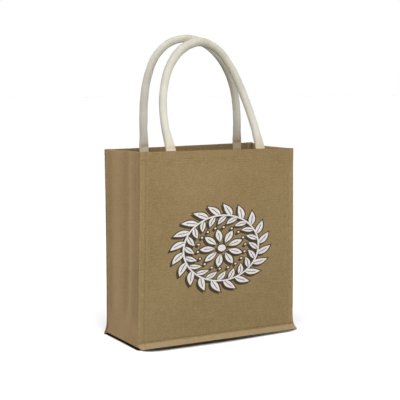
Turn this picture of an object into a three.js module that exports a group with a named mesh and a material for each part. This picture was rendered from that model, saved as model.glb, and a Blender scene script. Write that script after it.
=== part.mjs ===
// Open jute tote bag that stands by itself, with two stuffed cotton handles.
// Units are millimetres, +Z is up, the front panel faces -Y and the origin is
// the middle of the base, on the floor.
import * as THREE from 'three';

// Cloth and seams
const CLOTH = 1.5;
const LAID_GAP = 0.3;
const SEAM_ALLOWANCE = 11;
const SEAM_FOLD_RADIUS = 1.2;
const HEM_DEPTH = 24;
const HEM_FOLD_RADIUS = 0.95;
const HEM_SIDE_CLEARANCE = 14;
const HEM_NOTCH = 1.2;
const WALL_TOP_DROP = 0.4;

// Bag body
const PANEL_DEPTH = 78.2;
const PANEL_FOOT = 0.7;
const SKIRT_HEIGHT = 14;
const SKIRT_FLARE = 4.3;
const SKIRT_CURVE = 1.4;
const BASE_CORNER_RADIUS = 5;
const BASE_NOTCH_REACH = 14;
const NOTCH_ALLOWANCE = 3.2;
const BODY_HEIGHT = 370;

// Corner heights of the rim, left and right as seen from the front
const FRONT_RIM = { left: 371.6, right: 367.6, middleRise: 0.8 };
const BACK_RIM = { left: 368.8, right: 372.2, middleRise: -0.3 };

// Distance of the panel edges and of the side walls from the middle plane.
// The panel edges turn out into small ears at the floor.
const LEFT_EDGES = [
  { up: 0, frontPanel: 173.8, backPanel: 175.6, frontWall: 174.2, backWall: 171.8 },
  { up: 5, frontPanel: 177.4, backPanel: 174.9, frontWall: 175.2, backWall: 171.4 },
  { up: 12, frontPanel: 178.6, backPanel: 173.2, frontWall: 175.9, backWall: 170.4 },
  { up: 26, frontPanel: 178.2, backPanel: 171.3, frontWall: 176.4, backWall: 169.9 },
  { up: 60, frontPanel: 177.2, backPanel: 170.9, frontWall: 176.0, backWall: 169.7 },
  { up: 114, frontPanel: 175.9, backPanel: 170.5, frontWall: 174.7, backWall: 169.3 },
  { up: 227, frontPanel: 173.1, backPanel: 170.2, frontWall: 171.9, backWall: 169.0 },
  { up: 320, frontPanel: 170.9, backPanel: 170.4, frontWall: 169.7, backWall: 169.2 },
  { up: 376, frontPanel: 169.7, backPanel: 170.6, frontWall: 168.5, backWall: 169.4 },
];
const RIGHT_EDGES = [
  { up: 0, frontPanel: 177.6, backPanel: 176.2, frontWall: 169.9, backWall: 171.6 },
  { up: 5, frontPanel: 174.4, backPanel: 174.6, frontWall: 169.0, backWall: 170.9 },
  { up: 12, frontPanel: 171.4, backPanel: 172.4, frontWall: 168.2, backWall: 169.9 },
  { up: 26, frontPanel: 169.2, backPanel: 170.8, frontWall: 167.7, backWall: 169.4 },
  { up: 60, frontPanel: 169.4, backPanel: 170.5, frontWall: 168.2, backWall: 169.2 },
  { up: 114, frontPanel: 169.6, backPanel: 170.5, frontWall: 168.4, backWall: 169.3 },
  { up: 227, frontPanel: 169.3, backPanel: 170.4, frontWall: 168.1, backWall: 169.2 },
  { up: 320, frontPanel: 168.7, backPanel: 170.4, frontWall: 167.5, backWall: 169.2 },
  { up: 376, frontPanel: 168.8, backPanel: 170.4, frontWall: 167.6, backWall: 169.2 },
];

// Depth of the pressed middle crease of each gusset and of the fullness beside it
const CREASE_DEPTHS = [
  { up: 0, left: 0, right: 0, fullness: 0 },
  { up: 8, left: 0.3, right: 0.3, fullness: 0.1 },
  { up: 30, left: 4.5, right: 4, fullness: 0.8 },
  { up: 75, left: 11, right: 9.5, fullness: 1.9 },
  { up: 150, left: 12.8, right: 13, fullness: 2.3 },
  { up: 280, left: 12.2, right: 16, fullness: 2.1 },
  { up: 376, left: 12.5, right: 18, fullness: 1.2 },
];
const CREASE_SOFTNESS = 0.09;

// Soft swell of the two large panels and the slow waves over it
const SWELL = 2.4;
const WAVES = [
  { depth: 0.7, across: 118, up: 260, phase: 0.6 },
  { depth: 0.45, across: 64, up: 150, phase: 2.1 },
];

// Handles: the tape ends lie on the inside of the hem, the stuffed part starts
// just above the rim. Each row is a point of the arch, seen from the front.
const TAPE = { halfWidth: 10, halfThickness: 1.6, drop: 55, bend: 6, rise: 1.5, squareness: 6 };
const TAPE_TO_TUBE = [
  { above: 3, halfWidth: 10, halfThickness: 2.2, squareness: 5 },
  { above: 6.5, halfWidth: 9.8, halfThickness: 4.6, squareness: 3 },
  { above: 15, halfWidth: 8.9, halfThickness: 6.4, squareness: 2.4 },
  { above: 27, halfWidth: 8.1, halfThickness: 7.4, squareness: 2.1 },
];
const FRONT_ARCH = [
  { across: -104.0, up: 371.0, radius: 7.8 },
  { across: -106.5, up: 412.5, radius: 7.7 },
  { across: -103.5, up: 453.1, radius: 7.6 },
  { across: -93.7, up: 493.6, radius: 7.7 },
  { across: -75.3, up: 532.6, radius: 8.1 },
  { across: -44.7, up: 563.8, radius: 8.8 },
  { across: -4.8, up: 577.3, radius: 8.6 },
  { across: 33.0, up: 562.8, radius: 7.8 },
  { across: 59.5, up: 528.5, radius: 7.3 },
  { across: 75.5, up: 488.5, radius: 7.8 },
  { across: 86.0, up: 448.1, radius: 7.7 },
  { across: 92.4, up: 408.0, radius: 7.6 },
  { across: 94.4, up: 371.0, radius: 7.8 },
];
const BACK_ARCH = [
  { across: -86.8, up: 371.0, radius: 8.3 },
  { across: -87.3, up: 414.1, radius: 8.3 },
  { across: -85.2, up: 460.9, radius: 8.2 },
  { across: -76.6, up: 507.1, radius: 8.0 },
  { across: -57.4, up: 549.7, radius: 7.8 },
  { across: -22.9, up: 579.0, radius: 7.6 },
  { across: 22.2, up: 587.6, radius: 7.6 },
  { across: 65.2, up: 573.0, radius: 7.7 },
  { across: 98.9, up: 540.8, radius: 7.8 },
  { across: 120.2, up: 498.7, radius: 7.9 },
  { across: 129.5, up: 453.3, radius: 8.0 },
  { across: 131.1, up: 407.1, radius: 8.1 },
  { across: 130.7, up: 371.0, radius: 8.1 },
];
const ARCH_HEIGHT = 210;
const ROUND = 2;
const FRONT_LEAN = { reach: 64, ease: 0.45 };
const BACK_LEAN = { reach: -6, ease: -1 };

// Steps of the meshes
const PANEL_COLUMNS = 24;
const BAND_COLUMNS = 2;
const BASE_ROWS = 12;
const CORNER_STEPS = 3;
const HEM_FOLD_STEPS = 4;
const HEM_FLAP_STEPS = 2;
const HANDLE_SIDES = 14;
const HANDLE_STEP = 12;
const PANEL_LEVELS = [0, 3, 7, 11, 14, 20, 30, 48, 75, 105, 140, 175, 210, 245, 280, 312, 338, 356];
const WALL_LEVELS = [9, 13, 20, 30, 44, 62, 85, 112, 145, 180, 215, 250, 285, 315, 340, 358];

// Fractions across a gusset or the base: two close steps on each side let the
// hem of a gusset start beside the seam, the others follow the crease.
const WALL_STEPS = [0.035, 0.045, 0.14, 0.25, 0.36, 0.44, 0.5, 0.56, 0.64, 0.75, 0.86, 0.955, 0.965];

const HALF_CLOTH = CLOTH / 2;
const LAID_STEP = CLOTH + LAID_GAP;
const FOLD_DROP = HALF_CLOTH + HEM_FOLD_RADIUS;

function mix(a, b, t) {
  return a + (b - a) * t;
}

// Smooth value of one column of a table at a height, with flat ends.
function columnAt(table, up, column) {
  const last = table.length - 1;
  if (up <= table[0].up) {
    return table[0][column];
  }
  if (up >= table[last].up) {
    return table[last][column];
  }
  let row = 0;
  while (table[row + 1].up < up) {
    row += 1;
  }
  const slope = (i) => {
    const before = table[Math.max(i - 1, 0)];
    const after = table[Math.min(i + 1, last)];
    return (after[column] - before[column]) / (after.up - before.up);
  };
  const low = table[row];
  const high = table[row + 1];
  const span = high.up - low.up;
  const t = (up - low.up) / span;
  const curveLow = (1 + 2 * t) * (1 - t) ** 2 * low[column];
  const curveHigh = t * t * (3 - 2 * t) * high[column];
  const pullLow = t * (1 - t) ** 2 * span * slope(row);
  const pullHigh = t * t * (t - 1) * span * slope(row + 1);
  return curveLow + curveHigh + pullLow + pullHigh;
}

// A panel is the front one where facing is -1 and the back one where it is 1.
function panelName(facing) {
  return facing < 0 ? 'front' : 'back';
}

function panelEdge(facing, side, up) {
  const table = side < 0 ? LEFT_EDGES : RIGHT_EDGES;
  return side * columnAt(table, up, `${panelName(facing)}Panel`);
}

function rimHeight(facing, x) {
  const rim = facing < 0 ? FRONT_RIM : BACK_RIM;
  const left = panelEdge(facing, -1, BODY_HEIGHT);
  const right = panelEdge(facing, 1, BODY_HEIGHT);
  const t = THREE.MathUtils.clamp((x - left) / (right - left), 0, 1);
  return mix(rim.left, rim.right, t) + rim.middleRise * Math.sin(Math.PI * t);
}

// Y of the middle of a panel's cloth, with its skirt, swell and slow waves.
function panelY(facing, x, up) {
  const skirt = Math.max(0, 1 - up / SKIRT_HEIGHT);
  const left = panelEdge(facing, -1, up) + SEAM_ALLOWANCE;
  const right = panelEdge(facing, 1, up) - SEAM_ALLOWANCE;
  const t = THREE.MathUtils.clamp((x - left) / (right - left), 0, 1);
  const rise = THREE.MathUtils.clamp((up - SKIRT_HEIGHT) / (BODY_HEIGHT - SKIRT_HEIGHT), 0, 1);
  const fullness = Math.sin(Math.PI * t) ** 2 * Math.sin(Math.PI * rise);
  let out = SWELL * fullness;
  for (const wave of WAVES) {
    const angle = facing * x / wave.across + up / wave.up + wave.phase;
    out += wave.depth * fullness * Math.sin(angle * Math.PI);
  }
  return facing * (PANEL_DEPTH + SKIRT_FLARE * skirt ** SKIRT_CURVE + out);
}

// Distance in y that leaves one laid step square to a panel's tilted cloth.
function laidOffset(facing, x, up) {
  const reach = 0.5;
  const rise = panelY(facing, x, up + reach) - panelY(facing, x, up - reach);
  return LAID_STEP * Math.hypot(1, rise / (2 * reach));
}

// Collects the middle surface of one piece of cloth as quads and gives it thickness.
class Cloth {
  constructor() {
    this.points = [];
    this.quads = [];
  }

  addPoint(point) {
    this.points.push(point);
    return this.points.length - 1;
  }

  // Joins two rows of point numbers with quads that face the same way.
  joinRows(lower, upper) {
    for (let i = 0; i + 1 < lower.length; i += 1) {
      this.quads.push([lower[i], lower[i + 1], upper[i + 1], upper[i]]);
    }
  }

  addRows(rows) {
    const numbers = rows.map((row) => row.map((point) => this.addPoint(point)));
    for (let i = 0; i + 1 < numbers.length; i += 1) {
      this.joinRows(numbers[i], numbers[i + 1]);
    }
    return numbers;
  }

  quadNormal(quad) {
    const [a, b, c, d] = quad.map((i) => this.points[i]);
    const first = new THREE.Vector3().subVectors(c, a);
    const second = new THREE.Vector3().subVectors(d, b);
    return first.cross(second).normalize();
  }

  // Offset of each point that keeps the thickness of the faces around it.
  offsets() {
    const around = this.points.map(() => []);
    for (const quad of this.quads) {
      const normal = this.quadNormal(quad);
      quad.forEach((i) => around[i].push(normal));
    }
    return around.map((normals) => {
      const mean = new THREE.Vector3();
      normals.forEach((normal) => mean.add(normal));
      mean.normalize();
      const lean = normals.reduce((sum, normal) => sum + normal.dot(mean), 0) / normals.length;
      return mean.multiplyScalar(HALF_CLOTH / lean);
    });
  }

  toGeometry() {
    const offsets = this.offsets();
    const count = this.points.length;
    const positions = [];
    for (const side of [1, -1]) {
      this.points.forEach((point, i) => {
        const moved = point.clone().addScaledVector(offsets[i], side);
        positions.push(moved.x, moved.y, moved.z);
      });
    }
    const triangles = [];
    const edges = new Map();
    for (const [a, b, c, d] of this.quads) {
      triangles.push(a, b, c, a, c, d);
      triangles.push(count + a, count + c, count + b, count + a, count + d, count + c);
      for (const [from, to] of [[a, b], [b, c], [c, d], [d, a]]) {
        if (!edges.delete(`${to},${from}`)) {
          edges.set(`${from},${to}`, [from, to]);
        }
      }
    }
    for (const [from, to] of edges.values()) {
      triangles.push(from, count + from, count + to, from, count + to, to);
    }
    const geometry = new THREE.BufferGeometry();
    geometry.setAttribute('position', new THREE.Float32BufferAttribute(positions, 3));
    geometry.setIndex(triangles);
    geometry.computeVertexNormals();
    return geometry;
  }
}

// Rows of a hem that turns over the rim and lies on the inside of the cloth.
// topRow is the last row below the fold, and place moves one of its points in and up.
function hemRows(topRow, place) {
  const rows = [];
  for (let k = 1; k <= HEM_FOLD_STEPS; k += 1) {
    const angle = Math.PI * k / HEM_FOLD_STEPS;
    const across = HEM_FOLD_RADIUS * (1 - Math.cos(angle));
    const rise = HEM_FOLD_RADIUS * Math.sin(angle);
    rows.push({ across, rise });
  }
  for (let k = 1; k <= HEM_FLAP_STEPS; k += 1) {
    rows.push({ across: 2 * HEM_FOLD_RADIUS, rise: -HEM_DEPTH * k / HEM_FLAP_STEPS });
  }
  return rows.map(({ across, rise }) => topRow.map((point) => place(point, across, rise)));
}

function panelGeometry(facing) {
  const cloth = new Cloth();
  const rows = [];
  const levels = [...PANEL_LEVELS, BODY_HEIGHT];
  for (const level of levels) {
    const row = [];
    for (let i = 0; i <= PANEL_COLUMNS; i += 1) {
      const guess = mix(PANEL_FOOT, BODY_HEIGHT, level / BODY_HEIGHT);
      const left = panelEdge(facing, -1, guess);
      const right = panelEdge(facing, 1, guess);
      const x = columnX(i, left, right);
      const folded = i >= BAND_COLUMNS && i <= PANEL_COLUMNS - BAND_COLUMNS;
      const top = rimHeight(facing, x) - (folded ? FOLD_DROP : 0);
      const z = mix(PANEL_FOOT, top, level / BODY_HEIGHT);
      row.push(new THREE.Vector3(x, panelY(facing, x, z), z));
    }
    rows.push(facing < 0 ? row : row.reverse());
  }
  const numbers = cloth.addRows(rows);
  const last = rows.length - 1;
  const from = BAND_COLUMNS;
  const to = PANEL_COLUMNS - BAND_COLUMNS + 1;
  const hemTop = rows[last].slice(from, to);
  const place = (point, across, rise) => {
    const z = point.z + rise;
    return new THREE.Vector3(point.x, panelY(facing, point.x, z) - facing * across, z);
  };
  let lower = numbers[last].slice(from, to);
  for (const row of hemRows(hemTop, place)) {
    const upper = row.map((point) => cloth.addPoint(point));
    cloth.joinRows(lower, upper);
    lower = upper;
  }
  return cloth.toGeometry();
}

// Columns of a panel: two on each side hold the seam band, which the folded part of
// the hem stays clear of.
function columnX(i, left, right) {
  const columns = [left, left + HEM_SIDE_CLEARANCE - HEM_NOTCH];
  if (i < columns.length) {
    return columns[i];
  }
  const mirrored = [right, right - HEM_SIDE_CLEARANCE + HEM_NOTCH];
  if (PANEL_COLUMNS - i < mirrored.length) {
    return mirrored[PANEL_COLUMNS - i];
  }
  const t = (i - BAND_COLUMNS) / (PANEL_COLUMNS - 2 * BAND_COLUMNS);
  return mix(left + HEM_SIDE_CLEARANCE, right - HEM_SIDE_CLEARANCE, t);
}

// Soft V across a gusset, 1 at the crease and 0 at both edges.
function creaseShape(t) {
  const reach = Math.hypot(1, CREASE_SOFTNESS);
  return (reach - Math.hypot(2 * t - 1, CREASE_SOFTNESS)) / (reach - CREASE_SOFTNESS);
}

function wallEdge(facing, side, up) {
  const table = side < 0 ? LEFT_EDGES : RIGHT_EDGES;
  return side * columnAt(table, up, `${panelName(facing)}Wall`);
}

// Stations along the strip: down the left side, over the base and up the right.
// Each gives its side and its level on a gusset, its bend round a bottom corner, or
// its share of the way along the base.
function stripStations() {
  const stations = [];
  const levels = [...WALL_LEVELS, BODY_HEIGHT];
  for (const level of [...levels].reverse()) {
    stations.push({ side: -1, level });
  }
  for (let k = 0; k <= CORNER_STEPS; k += 1) {
    stations.push({ side: -1, bend: Math.PI / 2 * k / CORNER_STEPS });
  }
  for (let k = 1; k < BASE_ROWS; k += 1) {
    stations.push({ side: 0, along: k / BASE_ROWS });
  }
  for (let k = CORNER_STEPS; k >= 0; k -= 1) {
    stations.push({ side: 1, bend: Math.PI / 2 * k / CORNER_STEPS });
  }
  for (const level of levels) {
    stations.push({ side: 1, level });
  }
  return stations;
}

// Corner point of the strip in the plane of one panel, and its inward direction.
function stripCorner(station, facing) {
  const low = HALF_CLOTH + BASE_CORNER_RADIUS;
  if (station.level !== undefined) {
    const top = wallTop(facing, station.side) - WALL_TOP_DROP;
    const z = mix(low, top, (station.level - low) / (BODY_HEIGHT - low));
    const x = wallEdge(facing, station.side, z);
    return { x, z, inX: -station.side, inZ: 0, reach: z - low };
  }
  const leftCentre = wallEdge(facing, -1, low) + BASE_CORNER_RADIUS;
  const rightCentre = wallEdge(facing, 1, low) - BASE_CORNER_RADIUS;
  if (station.side === 0) {
    const x = mix(leftCentre, rightCentre, station.along);
    const reach = Math.min(x - leftCentre, rightCentre - x);
    return { x, z: HALF_CLOTH, inX: 0, inZ: 1, reach };
  }
  const centre = station.side < 0 ? leftCentre : rightCentre;
  const out = Math.cos(station.bend);
  const down = Math.sin(station.bend);
  return {
    x: centre + station.side * BASE_CORNER_RADIUS * out,
    z: low - BASE_CORNER_RADIUS * down,
    inX: -station.side * out,
    inZ: down,
    reach: 0,
  };
}

function wallTop(facing, side) {
  const rim = facing < 0 ? FRONT_RIM : BACK_RIM;
  return side < 0 ? rim.left : rim.right;
}

// Turned edge and fold of the strip beside one panel, from its free edge inwards.
function allowancePoints(station, facing) {
  const corner = stripCorner(station, facing);
  const opening = Math.min(1, corner.reach / BASE_NOTCH_REACH);
  const width = mix(NOTCH_ALLOWANCE, SEAM_ALLOWANCE, opening);
  const half = SEAM_FOLD_RADIUS * (1 - Math.SQRT1_2);
  const at = (inward, off) => {
    const x = corner.x + corner.inX * inward;
    const z = corner.z + corner.inZ * inward;
    const y = panelY(facing, x, z) - facing * (laidOffset(facing, x, z) + off);
    return new THREE.Vector3(x, y, z);
  };
  return [
    at(width, 0),
    at(mix(width, SEAM_FOLD_RADIUS, 0.5), 0),
    at(SEAM_FOLD_RADIUS, 0),
    at(half, half),
    at(0, SEAM_FOLD_RADIUS),
  ];
}

function stripRow(station) {
  const front = allowancePoints(station, -1);
  const back = allowancePoints(station, 1);
  const start = front[front.length - 1];
  const end = back[back.length - 1];
  const row = [...front];
  const last = WALL_STEPS.length - 1;
  WALL_STEPS.forEach((t, i) => {
    const point = new THREE.Vector3().lerpVectors(start, end, t);
    if (station.level === BODY_HEIGHT && i > 0 && i < last) {
      point.z -= FOLD_DROP;
    }
    if (station.side !== 0) {
      const column = station.side < 0 ? 'left' : 'right';
      const pull = columnAt(CREASE_DEPTHS, point.z, column) * creaseShape(t);
      const fullness = columnAt(CREASE_DEPTHS, point.z, 'fullness') * Math.sin(2 * Math.PI * t) ** 2;
      point.x -= station.side * (pull - fullness);
    }
    row.push(point);
  });
  row.push(...back.reverse());
  return row;
}

function stripGeometry() {
  const cloth = new Cloth();
  const rows = stripStations().map(stripRow);
  const numbers = cloth.addRows(rows);
  const last = rows.length - 1;
  const from = rows[0].length / 2 - WALL_STEPS.length / 2 + 1;
  const to = from + WALL_STEPS.length - 2;
  for (const [row, side] of [[0, -1], [last, 1]]) {
    const top = rows[row].slice(from, to);
    const place = (point, across, rise) => (
      new THREE.Vector3(point.x - side * across, point.y, point.z + rise)
    );
    let lower = numbers[row].slice(from, to);
    for (const points of hemRows(top, place)) {
      const upper = points.map((point) => cloth.addPoint(point));
      if (side < 0) {
        cloth.joinRows(upper, lower);
      } else {
        cloth.joinRows(lower, upper);
      }
      lower = upper;
    }
  }
  return cloth.toGeometry();
}

// Y of a handle at a height: on the hem below the rim, leaning above it.
function handleY(facing, x, up) {
  const lean = facing < 0 ? FRONT_LEAN : BACK_LEAN;
  const hemInside = CLOTH + 2 * HEM_FOLD_RADIUS;
  const laid = HALF_CLOTH + LAID_GAP + TAPE.halfThickness;
  const rim = rimHeight(facing, x);
  const onPanel = panelY(facing, x, Math.min(up, rim));
  const tape = onPanel - facing * (hemInside - HALF_CLOTH + laid - HALF_CLOTH);
  const rise = Math.max(0, (up - rim) / ARCH_HEIGHT);
  return tape - facing * lean.reach * ((1 + lean.ease) * rise - lean.ease * rise * rise);
}

// Centre points and sections of one handle from tape end to tape end.
function handleStations(facing) {
  const arch = facing < 0 ? FRONT_ARCH : BACK_ARCH;
  const first = arch[0];
  const last = arch[arch.length - 1];
  const tapeSection = {
    halfWidth: TAPE.halfWidth,
    halfThickness: TAPE.halfThickness,
    squareness: TAPE.squareness,
  };
  const endPoints = (end, next) => {
    const rim = rimHeight(facing, end.across);
    const points = [-TAPE.drop, -TAPE.drop / 2, -TAPE.bend, TAPE.rise].map((above) => (
      { across: end.across, up: rim + above, ...tapeSection }
    ));
    for (const step of TAPE_TO_TUBE) {
      const up = rim + step.above;
      const t = (up - end.up) / (next.up - end.up);
      points.push({ ...step, across: mix(end.across, next.across, t), up });
    }
    return points;
  };
  const tube = arch.slice(1, -1).map((row) => (
    { ...row, halfWidth: row.radius, halfThickness: row.radius, squareness: ROUND }
  ));
  const rise = endPoints(first, arch[1]);
  const fall = endPoints(last, arch[arch.length - 2]).reverse();
  return [...rise, ...tube, ...fall];
}

function sectionPoint(section, angle) {
  const power = ROUND / section.squareness;
  const bend = (value) => Math.sign(value) * Math.abs(value) ** power;
  return {
    width: section.halfWidth * bend(Math.cos(angle)),
    thickness: section.halfThickness * bend(Math.sin(angle)),
  };
}

function handleGeometry(facing) {
  const stations = handleStations(facing);
  const centres = stations.map(({ across, up }) => (
    new THREE.Vector3(across, handleY(facing, across, up), up)
  ));
  const curve = new THREE.CatmullRomCurve3(centres, false, 'centripetal');
  const rings = [];
  const spans = stations.length - 1;
  for (let i = 0; i < spans; i += 1) {
    const length = centres[i].distanceTo(centres[i + 1]);
    const steps = Math.max(1, Math.round(length / HANDLE_STEP));
    for (let k = 0; k < steps; k += 1) {
      rings.push({ i, t: k / steps });
    }
  }
  rings.push({ i: spans - 1, t: 1 });
  const positions = [];
  const broadside = new THREE.Vector3(0, 1, 0);
  for (const { i, t } of rings) {
    const place = (i + t) / spans;
    const centre = curve.getPoint(place);
    const along = curve.getTangent(place);
    const wide = new THREE.Vector3().crossVectors(broadside, along).normalize();
    const thick = new THREE.Vector3().crossVectors(along, wide).normalize();
    const section = {};
    for (const size of ['halfWidth', 'halfThickness', 'squareness']) {
      section[size] = mix(stations[i][size], stations[i + 1][size], t);
    }
    for (let k = 0; k < HANDLE_SIDES; k += 1) {
      const { width, thickness } = sectionPoint(section, 2 * Math.PI * (k + 0.5) / HANDLE_SIDES);
      const point = centre.clone().addScaledVector(wide, width).addScaledVector(thick, thickness);
      positions.push(point.x, point.y, point.z);
    }
  }
  const triangles = [];
  const ringAt = (ring, k) => ring * HANDLE_SIDES + (k % HANDLE_SIDES);
  for (let ring = 0; ring + 1 < rings.length; ring += 1) {
    for (let k = 0; k < HANDLE_SIDES; k += 1) {
      const a = ringAt(ring, k);
      const b = ringAt(ring, k + 1);
      const c = ringAt(ring + 1, k + 1);
      const d = ringAt(ring + 1, k);
      triangles.push(a, b, c, a, c, d);
    }
  }
  const end = rings.length - 1;
  for (let k = 1; k + 1 < HANDLE_SIDES; k += 1) {
    triangles.push(ringAt(0, 0), ringAt(0, k + 1), ringAt(0, k));
    triangles.push(ringAt(end, 0), ringAt(end, k), ringAt(end, k + 1));
  }
  const geometry = new THREE.BufferGeometry();
  geometry.setAttribute('position', new THREE.Float32BufferAttribute(positions, 3));
  geometry.setIndex(triangles);
  geometry.computeVertexNormals();
  return geometry;
}

const panelJute = new THREE.MeshStandardMaterial({ color: '#94805a', roughness: 0.95, metalness: 0 });
const stripJute = new THREE.MeshStandardMaterial({ color: '#917b5c', roughness: 0.95, metalness: 0 });
const cotton = new THREE.MeshStandardMaterial({ color: '#dcd8c9', roughness: 0.9, metalness: 0 });

function addPiece(group, name, geometry, material) {
  const mesh = new THREE.Mesh(geometry, material);
  mesh.name = name;
  group.add(mesh);
}

const bag = new THREE.Group();
addPiece(bag, 'front_panel', panelGeometry(-1), panelJute);
addPiece(bag, 'back_panel', panelGeometry(1), panelJute);
addPiece(bag, 'side_and_base_strip', stripGeometry(), stripJute);
addPiece(bag, 'front_handle', handleGeometry(-1), cotton);
addPiece(bag, 'back_handle', handleGeometry(1), cotton);

export default bag;
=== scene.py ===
"""Looks of an open jute tote bag with two stuffed cotton handles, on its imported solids.

The tables hold millimetres in the shared frame: +Z is up, the front panel faces -Y and
the floor is z = 0. Meshes are made in metres.
"""

import logging
from dataclasses import dataclass
from enum import Enum
from functools import cached_property, lru_cache
from math import ceil, copysign, cos, exp, hypot, pi, radians, sin
from typing import Callable, ClassVar, Iterable, Mapping, NamedTuple, Sequence

import bpy
import numpy as np
from bpy.types import ID, Material, Mesh, Node, NodeSocket, NodeTree, Object
from mathutils import Matrix, Vector, noise
from numpy.linalg import norm

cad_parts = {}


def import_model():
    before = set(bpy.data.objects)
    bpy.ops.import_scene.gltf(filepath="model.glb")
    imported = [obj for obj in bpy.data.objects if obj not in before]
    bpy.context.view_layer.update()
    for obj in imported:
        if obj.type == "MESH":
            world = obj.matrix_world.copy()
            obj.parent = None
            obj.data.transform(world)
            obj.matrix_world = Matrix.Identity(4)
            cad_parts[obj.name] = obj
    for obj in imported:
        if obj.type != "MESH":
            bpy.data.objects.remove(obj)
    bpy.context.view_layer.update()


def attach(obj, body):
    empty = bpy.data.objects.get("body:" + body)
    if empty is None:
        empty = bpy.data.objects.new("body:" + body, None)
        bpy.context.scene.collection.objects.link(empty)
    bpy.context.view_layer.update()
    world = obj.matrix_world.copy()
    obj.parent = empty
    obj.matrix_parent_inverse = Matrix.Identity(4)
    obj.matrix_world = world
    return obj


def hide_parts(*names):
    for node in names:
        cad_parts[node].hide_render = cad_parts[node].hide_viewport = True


LOG = logging.getLogger("tote_bag")
MM = 0.001
Colour = tuple[float, float, float, float]
Place = tuple[float, float, float]
Edge = tuple[int, int]
Spot = float | np.ndarray


def srgb(red: int, green: int, blue: int) -> Colour:
    """Turns an 8-bit sRGB colour into a linear one.

    Args:
        red, green, blue: Channels from 0 to 255.

    Returns:
        Linear red, green, blue and an alpha of 1.
    """
    channels = []
    for value in (red, green, blue):
        part = value / 255
        channels.append(part / 12.92 if part <= 0.04045 else ((part + 0.055) / 1.055) ** 2.4)
    return (channels[0], channels[1], channels[2], 1.0)


def mix(start: float, end: float, share: float) -> float:
    """Value that lies a share of the way from start to end."""
    return start + (end - start) * share


def clamp(value: float, low: float = 0.0, high: float = 1.0) -> float:
    """Value kept between low and high."""
    return min(max(value, low), high)


def bell(distance: float, width: float) -> float:
    """Soft bump that is 1 at distance 0 and fades over width."""
    return exp(-((distance / width) ** 2))


def ramp(value: float, low: float, high: float) -> float:
    """Smooth step from 0 at low to 1 at high."""
    share = clamp((value - low) / (high - low))
    return share * share * (3 - 2 * share)


def drift(seed: float, *place: float) -> float:
    """Even random wave between about -1 and 1 at a place of two or three numbers."""
    padded = (*place, 0.0, 0.0)[:3]
    return noise.noise(Vector((padded[0] + seed * 17.3, padded[1] - seed * 9.1, padded[2] + seed)))


class Side(Enum):
    """Left or right of the bag as seen from the front."""

    LEFT = -1
    RIGHT = 1


class Facing(Enum):
    """Front or back half of the bag, by the sign of its outward Y."""

    FRONT = -1
    BACK = 1


class Hold(Enum):
    STRETCHED = "stretched"
    FOLDED = "folded"


# Shader maths


def sum_method(operation: str, turned: bool = False) -> Callable[..., "Value"]:
    """Makes a method of Value that adds one kind of Math node.

    Args:
        operation: Blender's name of the operation.
        turned: Whether the value is the last input instead of the first.

    Returns:
        The method, which takes the other inputs and gives the result.
    """

    def method(self: "Value", *others: "Value | float") -> "Value":
        """Result of the operation on this value and the others."""
        inputs = (*others, self) if turned else (self, *others)
        return self.kit.maths(operation, *inputs)

    return method


class Value:
    """A shader socket that takes part in Python sums."""

    __add__ = __radd__ = sum_method("ADD")
    __sub__ = sum_method("SUBTRACT")
    __rsub__ = sum_method("SUBTRACT", turned=True)
    __mul__ = sum_method("MULTIPLY")
    __truediv__ = sum_method("DIVIDE")
    floor = sum_method("FLOOR")
    size = sum_method("ABSOLUTE")
    cosine = sum_method("COSINE")
    sine = sum_method("SINE")
    root = sum_method("SQRT")
    most = sum_method("MAXIMUM")
    least = sum_method("MINIMUM")

    def __init__(self, kit: "NodeKit", source: NodeSocket | Node) -> None:
        self.kit = kit
        self.socket = source.outputs[0] if isinstance(source, Node) else source

    def held(self) -> "Value":
        """Value kept between 0 and 1."""
        return self.kit.maths("ADD", self, 0.0, clamped=True)

    def step(self, low: float, high: float) -> "Value":
        """Smooth step from 0 at low to 1 at high."""
        settings = {"interpolation_type": "SMOOTHSTEP"}
        sockets = {"Value": self, "From Min": low, "From Max": high, "To Min": 0.0, "To Max": 1.0}
        return Value(self.kit, self.kit.node("ShaderNodeMapRange", settings, sockets))


class TreeKit:
    """Adds nodes to one node tree of any kind."""

    def __init__(self, tree: NodeTree) -> None:
        """Starts on a tree and keeps the nodes that it has."""
        self.tree = tree

    def node(
        self,
        kind: str,
        settings: Mapping[str, object] | None = None,
        sockets: Mapping[str | int, object] | None = None,
    ) -> Node:
        """Adds a node of any kind.

        Args:
            kind: Blender's type name.
            settings: Properties, set first; "stops" holds a ramp's places and colours.
            sockets: Numbers, sockets, values or nodes by input name or number.

        Returns:
            The new node.
        """
        made = self.tree.nodes.new(kind)
        for name, value in (settings or {}).items():
            if name == "stops":
                self._set_stops(made, value)
            else:
                setattr(made, name, value)
        for name, value in (sockets or {}).items():
            self._fill(made.inputs[name], value)
        return made

    def _fill(self, slot: NodeSocket, value: object) -> None:
        """Links a value, a socket or a node's first output to an input, or sets a number.

        Args:
            slot: The input.
            value: What it takes.
        """
        if isinstance(value, Value):
            value = value.socket
        if isinstance(value, Node):
            value = value.outputs[0]
        if isinstance(value, NodeSocket):
            self.tree.links.new(value, slot)
        else:
            slot.default_value = value

    @staticmethod
    def _set_stops(made: Node, stops: Iterable[tuple[float, Colour]]) -> None:
        """Sets the stops of a colour ramp.

        Args:
            made: Node with the ramp.
            stops: Place and colour of each stop.
        """
        elements = made.color_ramp.elements
        for number, (place, colour) in enumerate(stops):
            stop = elements[number] if number < len(elements) else elements.new(place)
            stop.position = place
            stop.color = colour


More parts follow.
